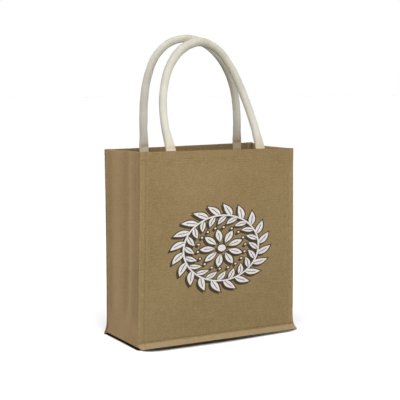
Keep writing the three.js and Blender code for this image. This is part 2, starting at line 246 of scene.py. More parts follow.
class NodeKit(TreeKit):
    """Builds the nodes of one material."""

    def __init__(self, name: str) -> None:
        """Makes an empty material.

        Args:
            name: Name of the material.
        """
        self.material = bpy.data.materials.new(name)
        self.material.use_nodes = True
        super().__init__(self.material.node_tree)
        self.tree.nodes.clear()

    @cached_property
    def place(self) -> tuple[Value, Value]:
        """Place on the cloth in metres, across and along it, from its UV map."""
        source = self.node("ShaderNodeUVMap", {"uv_map": ClothMesh.UV_NAME})
        split = self.node("ShaderNodeSeparateXYZ", None, {0: source})
        return Value(self, split.outputs[0]), Value(self, split.outputs[1])

    def maths(self, operation: str, *values: "Value | float", clamped: bool = False) -> Value:
        """Adds a Math node.

        Args:
            operation: Blender's name of the operation.
            values: One to three inputs.
            clamped: Whether the result is kept between 0 and 1.

        Returns:
            The result as a value.
        """
        made = self.node(
            "ShaderNodeMath",
            {"operation": operation, "use_clamp": clamped},
            dict(enumerate(values)),
        )
        return Value(self, made.outputs[0])

    def attribute(self, name: str) -> Value:
        """Number that a piece keeps at each of its points."""
        source = self.node("ShaderNodeAttribute", {"attribute_name": name})
        return Value(self, source.outputs["Fac"])

    def vector(self, *parts: "Value | float") -> NodeSocket:
        """Vector of two or three values."""
        made = self.node("ShaderNodeCombineXYZ", None, dict(enumerate(parts)))
        return made.outputs[0]

    def clouds(
        self, place: NodeSocket | tuple["Value | float", ...], scale: float, detail: float = 2.0
    ) -> Value:
        """Soft random value around 0.5.

        Args:
            place: Socket or parts of the place.
            scale: Patches per unit.
            detail: How many finer layers there are.

        Returns:
            The value.
        """
        place = self.vector(*place) if isinstance(place, tuple) else place
        made = self.node(
            "ShaderNodeTexNoise",
            {"noise_dimensions": "3D"},
            {"Vector": place, "Scale": scale, "Detail": detail, "Roughness": 0.55},
        )
        return Value(self, made.outputs[0])

    def chance(self, first: Value, second: "Value | float") -> Value:
        """Random value from 0 to 1 for each pair of whole numbers."""
        made = self.node(
            "ShaderNodeTexWhiteNoise",
            {"noise_dimensions": "2D"},
            {"Vector": self.vector(first, second)},
        )
        return Value(self, made.outputs["Value"])

    def blend(
        self, share: "Value | float", start: object, end: object, way: str = "MIX"
    ) -> NodeSocket:
        """Mixes two colours.

        Args:
            share: How much of the second colour shows.
            start: First colour or socket.
            end: Second colour or socket.
            way: Blender's name of the blend.

        Returns:
            The colour socket.
        """
        made = self.node(
            "ShaderNodeMix",
            {"data_type": "RGBA", "blend_type": way},
            {0: share, 6: start, 7: end},
        )
        return made.outputs[2]

    def tones(self, value: Value, stops: Sequence[tuple[float, Colour]]) -> NodeSocket:
        """Colour of a value on a ramp."""
        made = self.node("ShaderNodeValToRGB", {"stops": stops}, {0: value})
        return made.outputs[0]

    def raised(self, height: Value, depth: float, strength: float) -> NodeSocket:
        """Normal of a surface raised by up to depth metres where height is 1."""
        sockets = {"Height": height, "Distance": depth, "Strength": strength}
        return self.node("ShaderNodeBump", None, sockets).outputs[0]

    def finish(
        self,
        colour: object,
        roughness: object,
        normal: NodeSocket | None,
        constants: Mapping[str, float],
    ) -> Material:
        """Adds the surface shader and its output.

        Args:
            colour: Base colour or its socket.
            roughness: Number or value.
            normal: Socket of the raised normal, or None.
            constants: Other inputs of the shader, all plain numbers.

        Returns:
            The finished material.
        """
        sockets: dict[str | int, object] = {"Base Color": colour, "Roughness": roughness}
        sockets.update(constants)
        if normal is not None:
            sockets["Normal"] = normal
        shader = self.node("ShaderNodeBsdfPrincipled", None, sockets)
        self.node("ShaderNodeOutputMaterial", None, {"Surface": shader})
        return self.material


# Finishes


class WeavePoint(NamedTuple):
    """What a weave is like at one place."""

    height: Value
    upright: Value
    warp: Value
    weft: Value


@dataclass(frozen=True)
class PlainWeave:
    """Plain over-and-under weave on a cloth's own place.

    Attributes:
        pitch: Distance between threads in metres.
        wander: How far threads stray, as a share of the pitch.
        wander_scale: Noise scale of the straying, per metre.
        shake: How far a thread's two edges shake, as a share of the pitch.
        slimness: How much of a thread's width its thin stretches lose.
    """

    pitch: float
    wander: float
    wander_scale: float
    shake: float
    slimness: float

    def lay(self, kit: NodeKit) -> WeavePoint:
        """Works out the weave's height and thread numbers.

        Args:
            kit: Node kit of the material.

        Returns:
            Height from 0 to 1, 1 where the upright thread is on top, and thread numbers.
        """
        across, along = kit.place
        warp_place = self._thread_place(kit, across, (across, along * 0.35), 8.2)
        weft_place = self._thread_place(kit, along, (across * 0.35, along, 3.7), 1.9)
        warp = warp_place.floor()
        weft = weft_place.floor()
        upright = kit.maths("PINGPONG", warp + weft, 1.0)
        warp_round = self._roundness(kit, warp_place - warp - 0.5, across * 480, along * 90)
        weft_round = self._roundness(kit, weft_place - weft - 0.5, across * 90, along * 480)
        on_warp = warp_round * (weft_round * 0.6 + 0.4)
        on_weft = weft_round * (warp_round * 0.6 + 0.4)
        height = on_warp * upright + on_weft * (1 - upright)
        return WeavePoint(height, upright, warp, weft)

    def _thread_place(
        self, kit: NodeKit, place: Value, stray_at: tuple["Value | float", ...], lift: float
    ) -> Value:
        """Place over a set of threads in pitches, with their straying and their shaken edges.

        Args:
            kit: Node kit of the material.
            place: Place over the threads in metres.
            stray_at: Where the straying is read.
            lift: Level of the noise that shakes the edges.

        Returns:
            The place, with a whole number at each thread's edge.
        """
        stray = kit.clouds(stray_at, self.wander_scale)
        shake = kit.clouds((*kit.place, lift), 0.5 / self.pitch)
        strayed = place * (1 / self.pitch) + (stray - 0.5) * (2 * self.wander)
        return strayed + (shake - 0.5) * (2 * self.shake)

    def _roundness(self, kit: NodeKit, aside: Value, x: Value, y: Value) -> Value:
        """Roundness of a thread at a share of the pitch aside, thinner in places."""
        body = 1 - kit.clouds((x, y, 6.1), 1.0) * self.slimness
        return ((aside / body).size().least(0.5) * pi).cosine()


@dataclass(frozen=True)
class LeafRing:
    """One ring of leaves of the printed wreath.

    Attributes:
        count: Number of leaves.
        reach: Radius of the ring, 1 being the wreath's edge.
        length: Half length of a leaf.
        width: Half width of a leaf.
        lean: Lean of a leaf from the ring, in degrees.
        turn: Turn of the ring, as a share of one leaf's step.
    """

    count: int
    reach: float
    length: float
    width: float
    lean: float
    turn: float


@dataclass(frozen=True)
class WreathPrint:
    """Plain printed wreath of leaves round an open bloom, white with a dark edge.

    The pairs centre, half_size and shade_step (the dark edge's offset) are metres on the
    panel. All else is in wreath units, 1 being half the wreath. The stem is a ring's radius
    and half width, and a leaf's vein ends where it has grown to the leaf's own width.
    """

    centre: tuple[float, float] = (0.002, 0.180)
    half_size: tuple[float, float] = (0.116, 0.088)
    shade_step: tuple[float, float] = (0.0042, 0.0036)
    edge: float = 0.022
    softness: float = 0.003
    rings: tuple[LeafRing, ...] = (
        LeafRing(20, 0.84, 0.165, 0.062, 52.0, 0.0),
        LeafRing(20, 0.62, 0.125, 0.050, -48.0, 0.5),
        LeafRing(9, 0.27, 0.150, 0.060, 90.0, 0.0),
    )
    stem: tuple[float, float] = (0.725, 0.016)
    heart: float = 0.075
    dots: LeafRing = LeafRing(18, 0.46, 0.020, 0.020, 0.0, 0.25)
    taper: float = 0.28
    least_taper: float = 0.2
    vein: float = 0.0065
    vein_start: float = 0.45
    vein_growth: float = 0.06

    @staticmethod
    def _from_leaf(ring: LeafRing, angle: Value, reach: Value) -> tuple[Value, Value]:
        """Distances round and out from the middle of the nearest leaf of a ring."""
        step = 2 * pi / ring.count
        turned = angle * (1 / step) + ring.turn
        return (turned - turned.floor() - 0.5) * (step * ring.reach), reach - ring.reach

    def _leaves(self, ring: LeafRing, angle: Value, reach: Value) -> Value:
        """Depth inside the leaves of a ring.

        Args:
            ring: The ring.
            angle: Angle of the place round the wreath, in radians.
            reach: Distance of the place from the wreath's middle.

        Returns:
            Depth in wreath units, below 0 outside the leaves and on their veins.
        """
        around, out = self._from_leaf(ring, angle, reach)
        lean = radians(ring.lean)
        along = (around * cos(lean) + out * sin(lean)) * (1 / ring.length)
        aside = (out * cos(lean) - around * sin(lean)).size()
        slimmer = (1 - along * self.taper).most(self.least_taper)
        body = (1 - along * along) * slimmer * ring.width
        vein = (aside - self.vein).most((along - self.vein_start) * self.vein_growth)
        return (body - aside).least(vein)

    def _motif(self, kit: NodeKit, shift: tuple[float, float]) -> Value:
        """Depth inside the white parts of the wreath.

        Args:
            kit: Node kit of the material.
            shift: How far off the place is looked at, in metres.

        Returns:
            Depth in wreath units, below 0 outside.
        """
        across, along = kit.place
        x = (across + shift[0] - self.centre[0]) * (1 / self.half_size[0])
        y = (along + shift[1] - self.centre[1]) * (1 / self.half_size[1])
        angle = kit.maths("ARCTAN2", y, x)
        reach = (x * x + y * y).root()
        depth = self.stem[1] - (reach - self.stem[0]).size()
        for ring in self.rings:
            depth = depth.most(self._leaves(ring, angle, reach))
        around, out = self._from_leaf(self.dots, angle, reach)
        dots = self.dots.width - (around * around + out * out).root()
        return depth.most(dots).most(self.heart - reach)

    def inks(self, kit: NodeKit) -> tuple[Value, Value]:
        """Masks of the white ink and of the dark ink under it.

        Args:
            kit: Node kit of the material.

        Returns:
            White mask and dark mask from 0 to 1.
        """
        near = self._motif(kit, (0.0, 0.0))
        shade = self._motif(kit, self.shade_step)
        white = near.step(-self.softness, self.softness)
        line = near.step(-self.edge - self.softness, -self.edge + self.softness)
        half_edge = self.edge * 0.5
        dark = line.most(shade.step(-half_edge - self.softness, -half_edge + self.softness))
        return white, dark


@dataclass(frozen=True)
class JuteFinish:
    """Plain woven jute cloth.

    Each tone is its share of the way from the dark to the light fibres, grain weakens the
    four fine ones, and the relief is metres.
    """

    name: str
    light: Colour
    middle: Colour
    dark: Colour
    weave: PlainWeave = PlainWeave(0.0018, 0.32, 42.0, 0.22, 0.42)
    grain: float = 0.86
    picture: WreathPrint | None = None
    ink_white: Colour = srgb(250, 245, 242)
    ink_dark: Colour = srgb(44, 37, 35)
    thread_tone: float = 0.14
    slub_tone: float = 0.58
    mottle_tone: float = 0.36
    fibre_tone: float = 0.36
    blotch_tone: float = 0.16
    patch_tone: float = 0.26
    relief: float = 0.00042

    def build(self) -> Material:
        """Makes the material.

        Returns:
            The finished material.
        """
        kit = NodeKit(self.name)
        weave = self.weave.lay(kit)
        fibres = self._fibres(kit, weave.upright)
        tone = self._tone(kit, weave, fibres)
        colour = kit.tones(tone, [(0.12, self.dark), (0.5, self.middle), (0.88, self.light)])
        # Painted shade in the weave's hollows.
        painted_hollow_shade = (weave.height * 0.34 + 0.76).held()
        shade = kit.vector(painted_hollow_shade, painted_hollow_shade, painted_hollow_shade)
        colour = kit.blend(1.0, colour, shade, "MULTIPLY")
        if self.picture is not None:
            colour = self._print(kit, colour, weave.height)
        normal = kit.raised(weave.height * 0.8 + fibres * 0.35, self.relief, 0.75)
        return kit.finish(colour, 0.92, normal, {"Specular IOR Level": 0.15})

    def _fibres(self, kit: NodeKit, upright: Value) -> Value:
        """Fine fibres that run along whichever thread is on top."""
        across, along = kit.place
        warp = kit.clouds((across * 3400, along * 300), 1.0)
        weft = kit.clouds((across * 300, along * 3400, 4.0), 1.0)
        return warp * upright + weft * (1 - upright)

    def _tone(self, kit: NodeKit, weave: WeavePoint, fibres: Value) -> Value:
        """Place on the ramp from dark to pale fibres.

        Args:
            kit: Node kit of the material.
            weave: The weave.
            fibres: The fibres.

        Returns:
            Tone from 0 to 1, with mottling, slubs, patches and the painted light and shade kept at the
            points.
        """
        across, along = kit.place
        warp_tone = kit.chance(weave.warp, (along * 90).floor())
        weft_tone = kit.chance(weave.weft, (across * 70).floor() + 31.5)
        threads = warp_tone * weave.upright + weft_tone * (1 - weave.upright)
        slubs = kit.clouds((across * 150, along * 620), 1.0)
        mottle = kit.clouds((across, along, 2.4), 540.0, 1.0)
        blotches = kit.clouds((across, along, 7.7), 70.0)
        patches = kit.clouds((across, along * 0.8, 1.3), 9.0, 3.0)
        # Painted light and shade kept at each point of the jute pieces.
        worn = kit.attribute(ClothMesh.SHADING_AND_TINT_NAME)
        fine = (threads - 0.5) * self.thread_tone + (slubs - 0.5) * self.slub_tone
        fine = fine + (mottle - 0.5) * self.mottle_tone + (fibres - 0.5) * self.fibre_tone
        broad = (blotches - 0.5) * self.blotch_tone + (patches - 0.5) * self.patch_tone
        return fine * self.grain + broad + worn + 0.5

    def _print(
        self, kit: NodeKit, cloth: NodeSocket, height: Value
    ) -> NodeSocket:
        """Lays the print's inks over the cloth's colour, thin in the weave's hollows.

        Args:
            kit: Node kit of the material.
            cloth: Colour of the bare cloth.
            height: Height of the weave from 0 to 1.

        Returns:
            Colour of the printed cloth.
        """
        white, dark = self.picture.inks(kit)
        wear = kit.clouds((*kit.place, 9.0), 330.0, 3.0).step(0.30, 0.42)
        cover = (height * 1.3 + 0.58).held() * (wear * 0.35 + 0.65)
        colour = kit.blend(dark * (height * 1.2 + 0.6).held() * 0.97, cloth, self.ink_dark)
        return kit.blend(white * cover * 0.98, colour, self.ink_white)


@dataclass(frozen=True)
class CottonFinish:
    """Fine woven cotton cloth.

    Each tone is its share of the way from dark to light. The warm tint is that of the flat
    ends, and the painted shade colour darkens stretches of painted shade, under the arches
    and where one handle shades the other. The ribs of the twist and the relief are metres.
    """

    name: str
    light: Colour
    dark: Colour
    warm: Colour
    painted_shade_colour: Colour
    weave: PlainWeave = PlainWeave(0.00085, 0.18, 60.0, 0.10, 0.2)
    rib: float = 0.0042
    base_tone: float = 0.62
    thread_tone: float = 0.22
    patch_tone: float = 0.55
    fibre_tone: float = 0.3
    rib_tone: float = 0.05
    height_tone: float = 0.2
    relief: float = 0.0003

    def build(self) -> Material:
        """Makes the material.

        Returns:
            The finished material.
        """
        kit = NodeKit(self.name)
        across, along = kit.place
        weave = self.weave.lay(kit)
        ribs = ((across * 0.8 + along) * (2 * pi / self.rib)).sine()
        threads = kit.chance(weave.warp, 2.5) * 0.5 + kit.chance(weave.weft, 4.5) * 0.5
        patches = kit.clouds((across, along, 2.0), 38.0, 3.0)
        fibres = kit.clouds((across * 1600, along * 500), 1.0)
        tone = self.base_tone + (threads - 0.5) * self.thread_tone
        tone = tone + (patches - 0.5) * self.patch_tone + (fibres - 0.5) * self.fibre_tone
        # Painted shade in the weave's hollows, with the thread tops paler.
        tone = tone + ribs * self.rib_tone + (weave.height - 0.5) * self.height_tone
        colour = kit.tones(tone, [(0.05, self.dark), (0.75, self.light)])
        # Warm tint on the tape ends, and painted shade on the handles' shaded stretches.
        for mark, tint in ((ClothMesh.SHADING_AND_TINT_NAME, self.warm), (Handle.PAINTED_SHADE_NAME, self.painted_shade_colour)):
            colour = kit.blend(kit.attribute(mark), colour, tint, "MULTIPLY")
        normal = kit.raised(weave.height * 0.6 + ribs * 0.22 + fibres * 0.2, self.relief, 0.7)
        shine = {"Sheen Weight": 0.2, "Sheen Roughness": 0.4, "Specular IOR Level": 0.25}
        return kit.finish(colour, 0.88, normal, shine)


@dataclass(frozen=True)
class ThreadFinish:
    """Twisted sewing thread, with noise scales per metre and its relief in metres."""

    name: str
    light: Colour
    dark: Colour
    twist_scale: float = 1400.0
    tone_scale: float = 160.0
    relief: float = 0.0002

    def build(self) -> Material:
        """Makes the material.

        Returns:
            The finished material.
        """
        kit = NodeKit(self.name)
        place = kit.node("ShaderNodeTexCoord").outputs["Object"]
        twist = kit.clouds(place, self.twist_scale, 1.0)
        tone = kit.clouds(place, self.tone_scale, 2.0)
        colour = kit.tones(twist * 0.5 + tone * 0.5, [(0.32, self.dark), (0.66, self.light)])
        normal = kit.raised(twist, self.relief, 0.6)
        return kit.finish(colour, 0.7, normal, {"Specular IOR Level": 0.35})


@dataclass(frozen=True)
class FloorFinish:
    """Plain pale floor with a painted contact shadow, dark where something stands close to it.

    Attributes:
        shade, contact_shadow: Colours of the open floor and of its painted shadow right beside what
            stands on it.
        side_reach, front_reach: How far the darkening goes, in metres as all that follow.
        front_line, merge: Where the front begins, and the width of the change to it.
        lessening, loss: Where the front's darkening shrinks, and the share that it loses.
        covered, open: Openness of the floor beside a wall and away from it.
        rays: Rays that feel for what is near.
    """

    name: str = "studio_floor"
    shade: Colour = (0.86, 0.86, 0.865, 1.0)
    contact_shadow: Colour = (0.014, 0.009, 0.006, 1.0)
    side_reach: float = 0.012
    front_reach: float = 0.062
    front_line: float = -0.082
    merge: float = 0.012
    lessening: tuple[float, float] = (-0.03, 0.17)
    loss: float = 0.45
    covered: float = 0.68
    open: float = 0.86
    rays: int = 40

    def build(self) -> Material:
        """Makes the material.

        Returns:
            The finished material.
        """
        kit = NodeKit(self.name)
        across, depth = kit.place
        ahead = 1.0 - depth.step(self.front_line - self.merge, self.front_line)
        ahead = ahead * (1.0 - across.step(*self.lessening) * self.loss)
        reach = self.side_reach + ahead * (self.front_reach - self.side_reach)
        # Painted contact shadow: the floor's colour darkens where ambient occlusion finds something
        # near, further out in front of the bag.
        near = kit.node("ShaderNodeAmbientOcclusion", {"samples": self.rays}, {"Distance": reach})
        openness = Value(kit, near.outputs["AO"]).step(self.covered, self.open)
        colour = kit.blend(openness, self.contact_shadow, self.shade)
        return kit.finish(colour, 0.9, None, {"Specular IOR Level": 0.0})


# Form of the bag


class EdgeRow(NamedTuple):
    """Distances from the middle plane at one height."""

    up: float
    front_panel: float
    back_panel: float
    front_wall: float
    back_wall: float


class CreaseRow(NamedTuple):
    """Depth of the gussets' pressed crease and the fullness beside it at one height."""

    up: float
    left: float
    right: float
    fullness: float


class ArchRow(NamedTuple):
    """Point of a handle's arch seen from the front, with its radius."""

    across: float
    up: float
    radius: float


class TapeRow(NamedTuple):
    """Section of a handle between its flat end and its round part."""

    above: float
    half_width: float
    half_thickness: float
    squareness: float


class Wave(NamedTuple):
    """Slow wave over a panel."""

    depth: float
    across: float
    up: float
    phase: float


class Fold(NamedTuple):
    """Pressed fold down a gusset.

    Attributes:
        share: Place from the gusset's front edge to its back edge.
        width: Width as a share of the gusset.
        rise: How far it stands out, in millimetres.
        worn: Its painted light and shade, paler above 0.
    """

    share: float
    width: float
    rise: float
    worn: float


class Mark(NamedTuple):
    """Soft line beside an edge.

    Attributes:
        place: Distance from the edge.
        width: Width of the line.
        strength: How far it stands out or how pale it is; in or darker below 0.
    """

    place: float
    width: float
    strength: float


class ShadeStretch(NamedTuple):
    """Stretch of painted shade on a handle by shares of its length, with more on the arch's inner
    side.
    """

    share: float
    width: float
    around: float
    inner: float = 0.0


class Rim(NamedTuple):
    """Corner heights of a panel's rim and the rise of its middle."""

    left: float
    right: float
    middle_rise: float


class Lean(NamedTuple):
    """How far a handle leans in over its height, and how it eases."""

    reach: float
    ease: float


EDGES: dict[Side, tuple[EdgeRow, ...]] = {
    Side.LEFT: (
        EdgeRow(0, 173.8, 175.6, 174.2, 171.8),
        EdgeRow(5, 177.4, 174.9, 175.2, 171.4),
        EdgeRow(12, 178.6, 173.2, 175.9, 170.4),
        EdgeRow(26, 178.2, 171.3, 176.4, 169.9),
        EdgeRow(60, 177.2, 170.9, 176.0, 169.7),
        EdgeRow(114, 175.9, 170.5, 174.7, 169.3),
        EdgeRow(227, 173.1, 170.2, 171.9, 169.0),
        EdgeRow(320, 170.9, 170.4, 169.7, 169.2),
        EdgeRow(376, 169.7, 170.6, 168.5, 169.4),
    ),
    Side.RIGHT: (
        EdgeRow(0, 177.6, 176.2, 169.9, 171.6),
        EdgeRow(5, 174.4, 174.6, 169.0, 170.9),
        EdgeRow(12, 171.4, 172.4, 168.2, 169.9),
        EdgeRow(26, 169.2, 170.8, 167.7, 169.4),
        EdgeRow(60, 169.4, 170.5, 168.2, 169.2),
        EdgeRow(114, 169.6, 170.5, 168.4, 169.3),
        EdgeRow(227, 169.3, 170.4, 168.1, 169.2),
        EdgeRow(320, 168.7, 170.4, 167.5, 169.2),
        EdgeRow(376, 168.8, 170.4, 167.6, 169.2),
    ),
}
CREASES = (
    CreaseRow(0, 0, 0, 0), CreaseRow(8, 0.3, 0.3, 0.1),
    CreaseRow(30, 4.5, 4, 0.8), CreaseRow(75, 11, 9.5, 1.9),
    CreaseRow(150, 12.8, 13, 2.3), CreaseRow(280, 12.2, 16, 2.1),
    CreaseRow(376, 12.5, 18, 1.2),
)
ARCHES: dict[Facing, tuple[ArchRow, ...]] = {
    Facing.FRONT: (
        ArchRow(-104.0, 371.0, 7.8), ArchRow(-106.5, 412.5, 7.7),
        ArchRow(-103.5, 453.1, 7.6), ArchRow(-93.7, 493.6, 7.7),
        ArchRow(-75.3, 532.6, 8.1), ArchRow(-44.7, 563.8, 8.8),
        ArchRow(-4.8, 577.3, 8.6), ArchRow(33.0, 562.8, 7.8),
        ArchRow(59.5, 528.5, 7.3), ArchRow(75.5, 488.5, 7.8),
        ArchRow(86.0, 448.1, 7.7), ArchRow(92.4, 408.0, 7.6),
        ArchRow(94.4, 371.0, 7.8),
    ),
    Facing.BACK: (
        ArchRow(-86.8, 371.0, 8.3), ArchRow(-87.3, 414.1, 8.3),
        ArchRow(-85.2, 460.9, 8.2), ArchRow(-76.6, 507.1, 8.0),
        ArchRow(-57.4, 549.7, 7.8), ArchRow(-22.9, 579.0, 7.6),
        ArchRow(22.2, 587.6, 7.6), ArchRow(65.2, 573.0, 7.7),
        ArchRow(98.9, 540.8, 7.8), ArchRow(120.2, 498.7, 7.9),
        ArchRow(129.5, 453.3, 8.0), ArchRow(131.1, 407.1, 8.1),
        ArchRow(130.7, 371.0, 8.1),
    ),
}
TAPE_TO_TUBE = (
    TapeRow(3, 10, 2.2, 5),
    TapeRow(6.5, 9.8, 4.6, 3),
    TapeRow(15, 8.9, 6.4, 2.4),
    TapeRow(27, 8.1, 7.4, 2.1),
)
RIMS = {Facing.FRONT: Rim(371.6, 367.6, 0.8), Facing.BACK: Rim(368.8, 372.2, -0.3)}
LEANS = {Facing.FRONT: Lean(64, 0.45), Facing.BACK: Lean(-6, -1)}
WAVES = (Wave(0.7, 118, 260, 0.6), Wave(0.45, 64, 150, 2.1))
# Painted shade on stretches of the handles, more on the arches' inner sides and most on the back
# handle where the front one shades it.
PAINTED_HANDLE_SHADES = {
    Facing.FRONT: (ShadeStretch(0.52, 0.16, 0.28, 0.55), ShadeStretch(0.78, 0.10, 0.12), ShadeStretch(0.90, 0.03, 0.28)),
    Facing.BACK: (ShadeStretch(0.50, 0.20, 0.05, 0.20), ShadeStretch(0.69, 0.10, 0.90), ShadeStretch(0.91, 0.07, 0.92)),
}
# Last column: each fold's painted light and shade.
GUSSET_FOLDS = (
    Fold(0.02, 0.08, 0.0, -0.13),
    Fold(0.17, 0.080, -0.5, -0.10),
    Fold(0.40, 0.060, 0.6, 0.13),
    Fold(0.57, 0.070, -0.2, -0.08),
    Fold(0.74, 0.090, 0.4, 0.05),
    Fold(0.94, 0.075, -0.4, -0.16),
)
SEAM_LINE = 11.0
FOOT_SEAM = 12.6
SIDE_RELIEF = (Mark(SEAM_LINE, 1.5, -0.42), Mark(5.5, 3.2, 0.22))
FOOT_RELIEF = (Mark(FOOT_SEAM, 1.5, -0.30),)
# Painted light and shade beside the side and foot seams: highlights on the rolled edge and beside the
# sewing line, painted shade in the sewing grooves.
SIDE_PAINTED_SHADING = (Mark(0.0, 3.0, 0.04), Mark(SEAM_LINE, 1.6, -0.12), Mark(14.5, 1.8, 0.08))
FOOT_PAINTED_SHADING = (Mark(12.8, 1.5, -0.26),)


def marked(marks: Sequence[Mark], place: float) -> float:
    """Sum of soft lines at a distance from their edge."""
    return sum(mark.strength * bell(place - mark.place, mark.width) for mark in marks)


def curve(t: float, start: Spot, leave: Spot, end: Spot, reach: Spot) -> Spot:
    """Smooth curve between two values or points.

    Args:
        t: Share of the way.
        start, end: Both ends.
        leave, reach: Slopes there for the whole way.

    Returns:
        The value or point at t.
    """
    value = (2 * t**3 - 3 * t**2 + 1) * start + (t**3 - 2 * t**2 + t) * leave
    return value + (3 * t**2 - 2 * t**3) * end + (t**3 - t**2) * reach


@lru_cache(maxsize=None)
def column_at(table: tuple[NamedTuple, ...], up: float, column: str) -> float:
    """Smooth value of one column of a table at a height, with flat ends.

    Args:
        table: Rows with a field named up.
        up: Height in millimetres.
        column: Name of the column.

    Returns:
        The value at that height.
    """
    if up <= table[0].up:
        return getattr(table[0], column)
    if up >= table[-1].up:
        return getattr(table[-1], column)
    row = 0
    while table[row + 1].up < up:
        row += 1

    def slope(number: int) -> float:
        """Slope of the column at a row."""
        before = table[max(number - 1, 0)]
        after = table[min(number + 1, len(table) - 1)]
        return (getattr(after, column) - getattr(before, column)) / (after.up - before.up)

    low, high = table[row], table[row + 1]
    span = high.up - low.up
    leave, reach = span * slope(row), span * slope(row + 1)
    start, end = getattr(low, column), getattr(high, column)
    return curve((up - low.up) / span, start, leave, end, reach)


@dataclass(frozen=True)
class BagForm:
    """Sizes of the bag and the surfaces that its pieces follow, in millimetres."""

    cloth: float = 1.5
    laid_gap: float = 0.3
    seam_allowance: float = 11.0
    seam_line: float = SEAM_LINE
    seam_fold: float = 1.2
    hem_depth: float = 24.0
    hem_fold: float = 0.95
    hem_clearance: float = 14.0
    hem_notch: float = 1.2
    hem_rows: tuple[float, ...] = (16.5, 22.0)
    hem_fold_rows: int = 6
    hem_step: float = 1.7
    wall_top_drop: float = 0.4
    panel_depth: float = 78.2
    panel_foot: float = 0.7
    skirt_height: float = 14.0
    skirt_flare: float = 4.3
    base_corner: float = 5.0
    base_notch_reach: float = 14.0
    notch_allowance: float = 3.2
    height: float = 370.0
    swell: float = 2.4
    crease_softness: float = 0.09
    tape_half_width: float = 10.0
    tape_half_thickness: float = 1.6
    tape_drop: float = 55.0
    tape_rise: float = 1.5
    tape_squareness: float = 6.0
    arch_height: float = 210.0
    hem_groove: float = 0.34
    gusset_groove: float = 0.3
    hem_groove_width: float = 1.3
    hem_ledge: float = 0.35
    ruck: float = 0.42
    slack: float = 0.55
    gusset_slack: float = 0.7

    @property
    def half_cloth(self) -> float:
        """Half of the cloth's thickness."""
        return self.cloth / 2

    @property
    def fold_drop(self) -> float:
        """How far the cloth's middle ends below the rim where the hem folds over."""
        return self.half_cloth + self.hem_fold

    def edge(self, facing: Facing, side: Side, up: float, part: str = "panel") -> float:
        """X of the edge of a panel, or of the wall beside it, at a height."""
        return side.value * column_at(EDGES[side], up, f"{facing.name.lower()}_{part}")

    def edges(
        self, facing: Facing, up: float, inset: float = 0.0, part: str = "panel"
    ) -> tuple[float, float]:
        """X of both edges of a panel, or of the wall beside it, moved in by an inset."""
        left, right = (self.edge(facing, side, up, part) for side in Side)
        return left + inset, right - inset

    def rim_height(self, facing: Facing, x: float) -> float:
        """Height of a panel's rim at x."""
        rim = RIMS[facing]
        left, right = self.edges(facing, self.height)
        t = clamp((x - left) / (right - left))
        return mix(rim.left, rim.right, t) + rim.middle_rise * sin(pi * t)

    def beside(self, facing: Facing, x: float, up: float) -> tuple[float, float]:
        """Distances of a place on a panel from its nearer side edge and from its rim."""
        left, right = self.edges(facing, up)
        return min(x - left, right - x), self.rim_height(facing, x) - up

    def tape_cover(self, facing: Facing, x: float, below: float) -> float:
        """How much of a handle's tape lies behind a place on a panel.

        Args:
            facing, x: Which panel and place across it.
            below: Distance below the rim.

        Returns:
            1 behind it, fading to 0 beside it.
        """
        cover = 0.0
        for row in (ARCHES[facing][0], ARCHES[facing][-1]):
            beside = abs(x - row.across) - self.tape_half_width
            cover = max(cover, 1 - ramp(beside, 3, 12))
        return cover * (1 - ramp(below, self.tape_drop + 4, self.tape_drop + 16))

    def panel_relief(self, facing: Facing, x: float, up: float) -> float:
        """Fine outward relief of a panel.

        Args:
            facing, x, up: Which panel, place across it and height.

        Returns:
            Relief of the seam grooves, hem rows, puckers and slack.
        """
        side, below = self.beside(facing, x, up)
        seed = 2.0 if facing is Facing.FRONT else 5.0
        relief = marked(SIDE_RELIEF, side) + marked(FOOT_RELIEF, up)
        for row in self.hem_rows:
            relief -= self.hem_groove * bell(below - row, self.hem_groove_width)
        relief += self.hem_ledge * ramp(-below, -self.hem_depth - 1.5, -self.hem_depth + 1.0)
        calm = 1 - self.tape_cover(facing, x, below)
        ruck = drift(seed, x / 7.0, up / 26.0) * bell(below - 19, 11) * calm
        ruck += drift(seed + 1, x / 30.0, up / 8.0) * bell(side - self.seam_line, 7)
        ruck += drift(seed + 2, x / 9.0, up / 22.0) * bell(up - 13, 10) * ramp(up, 6, 12)
        slack = drift(seed + 3, x / 46.0, up / 30.0) + 0.6 * drift(seed + 4, x / 21.0, up / 19.0)
        inner = ramp(side, 12, 40) * ramp(up, 14, 40) * ramp(below, 24, 60)
        return relief + self.ruck * ruck + self.slack * slack * inner

    def panel_wear(self, facing: Facing, x: float, up: float) -> float:
        """Painted light and shade of a panel.

        Args:
            facing, x, up: Which panel, place across it and height.

        Returns:
            Painted highlights on the edges, the seam allowances and the foot band that faces up, and
            painted shade in the sewing grooves and hem rows.
        """
        side, below = self.beside(facing, x, up)
        worn = marked(SIDE_PAINTED_SHADING, side) + marked(FOOT_PAINTED_SHADING, up)
        # Painted highlight on the foot band, which faces up, and on the seam allowances.
        worn += 0.33 * (1 - ramp(up, 9.0, 12.0)) + 0.08 * (1 - ramp(side, 8.5, 11.0))
        # Darker broken lines at the hem rows: their needle holes and painted shade in their grooves.
        for row in self.hem_rows:
            broken = clamp(0.5 + 1.1 * drift(8.0, x / 19.0, row))
            worn -= 0.14 * bell(below - row, 1.4) * broken
        return worn

    def gusset_painted_shading(self, t: float, up: float) -> float:
        """Painted light and shade of a gusset: paler and darker stripes down its pressed folds, and a
        painted highlight along its foot.
        """
        worn = sum(fold.worn * bell(t - fold.share, fold.width) for fold in GUSSET_FOLDS)
        return worn * ramp(up, 25, 70) + 0.10 * (1 - ramp(up, 6.0, 10.0))

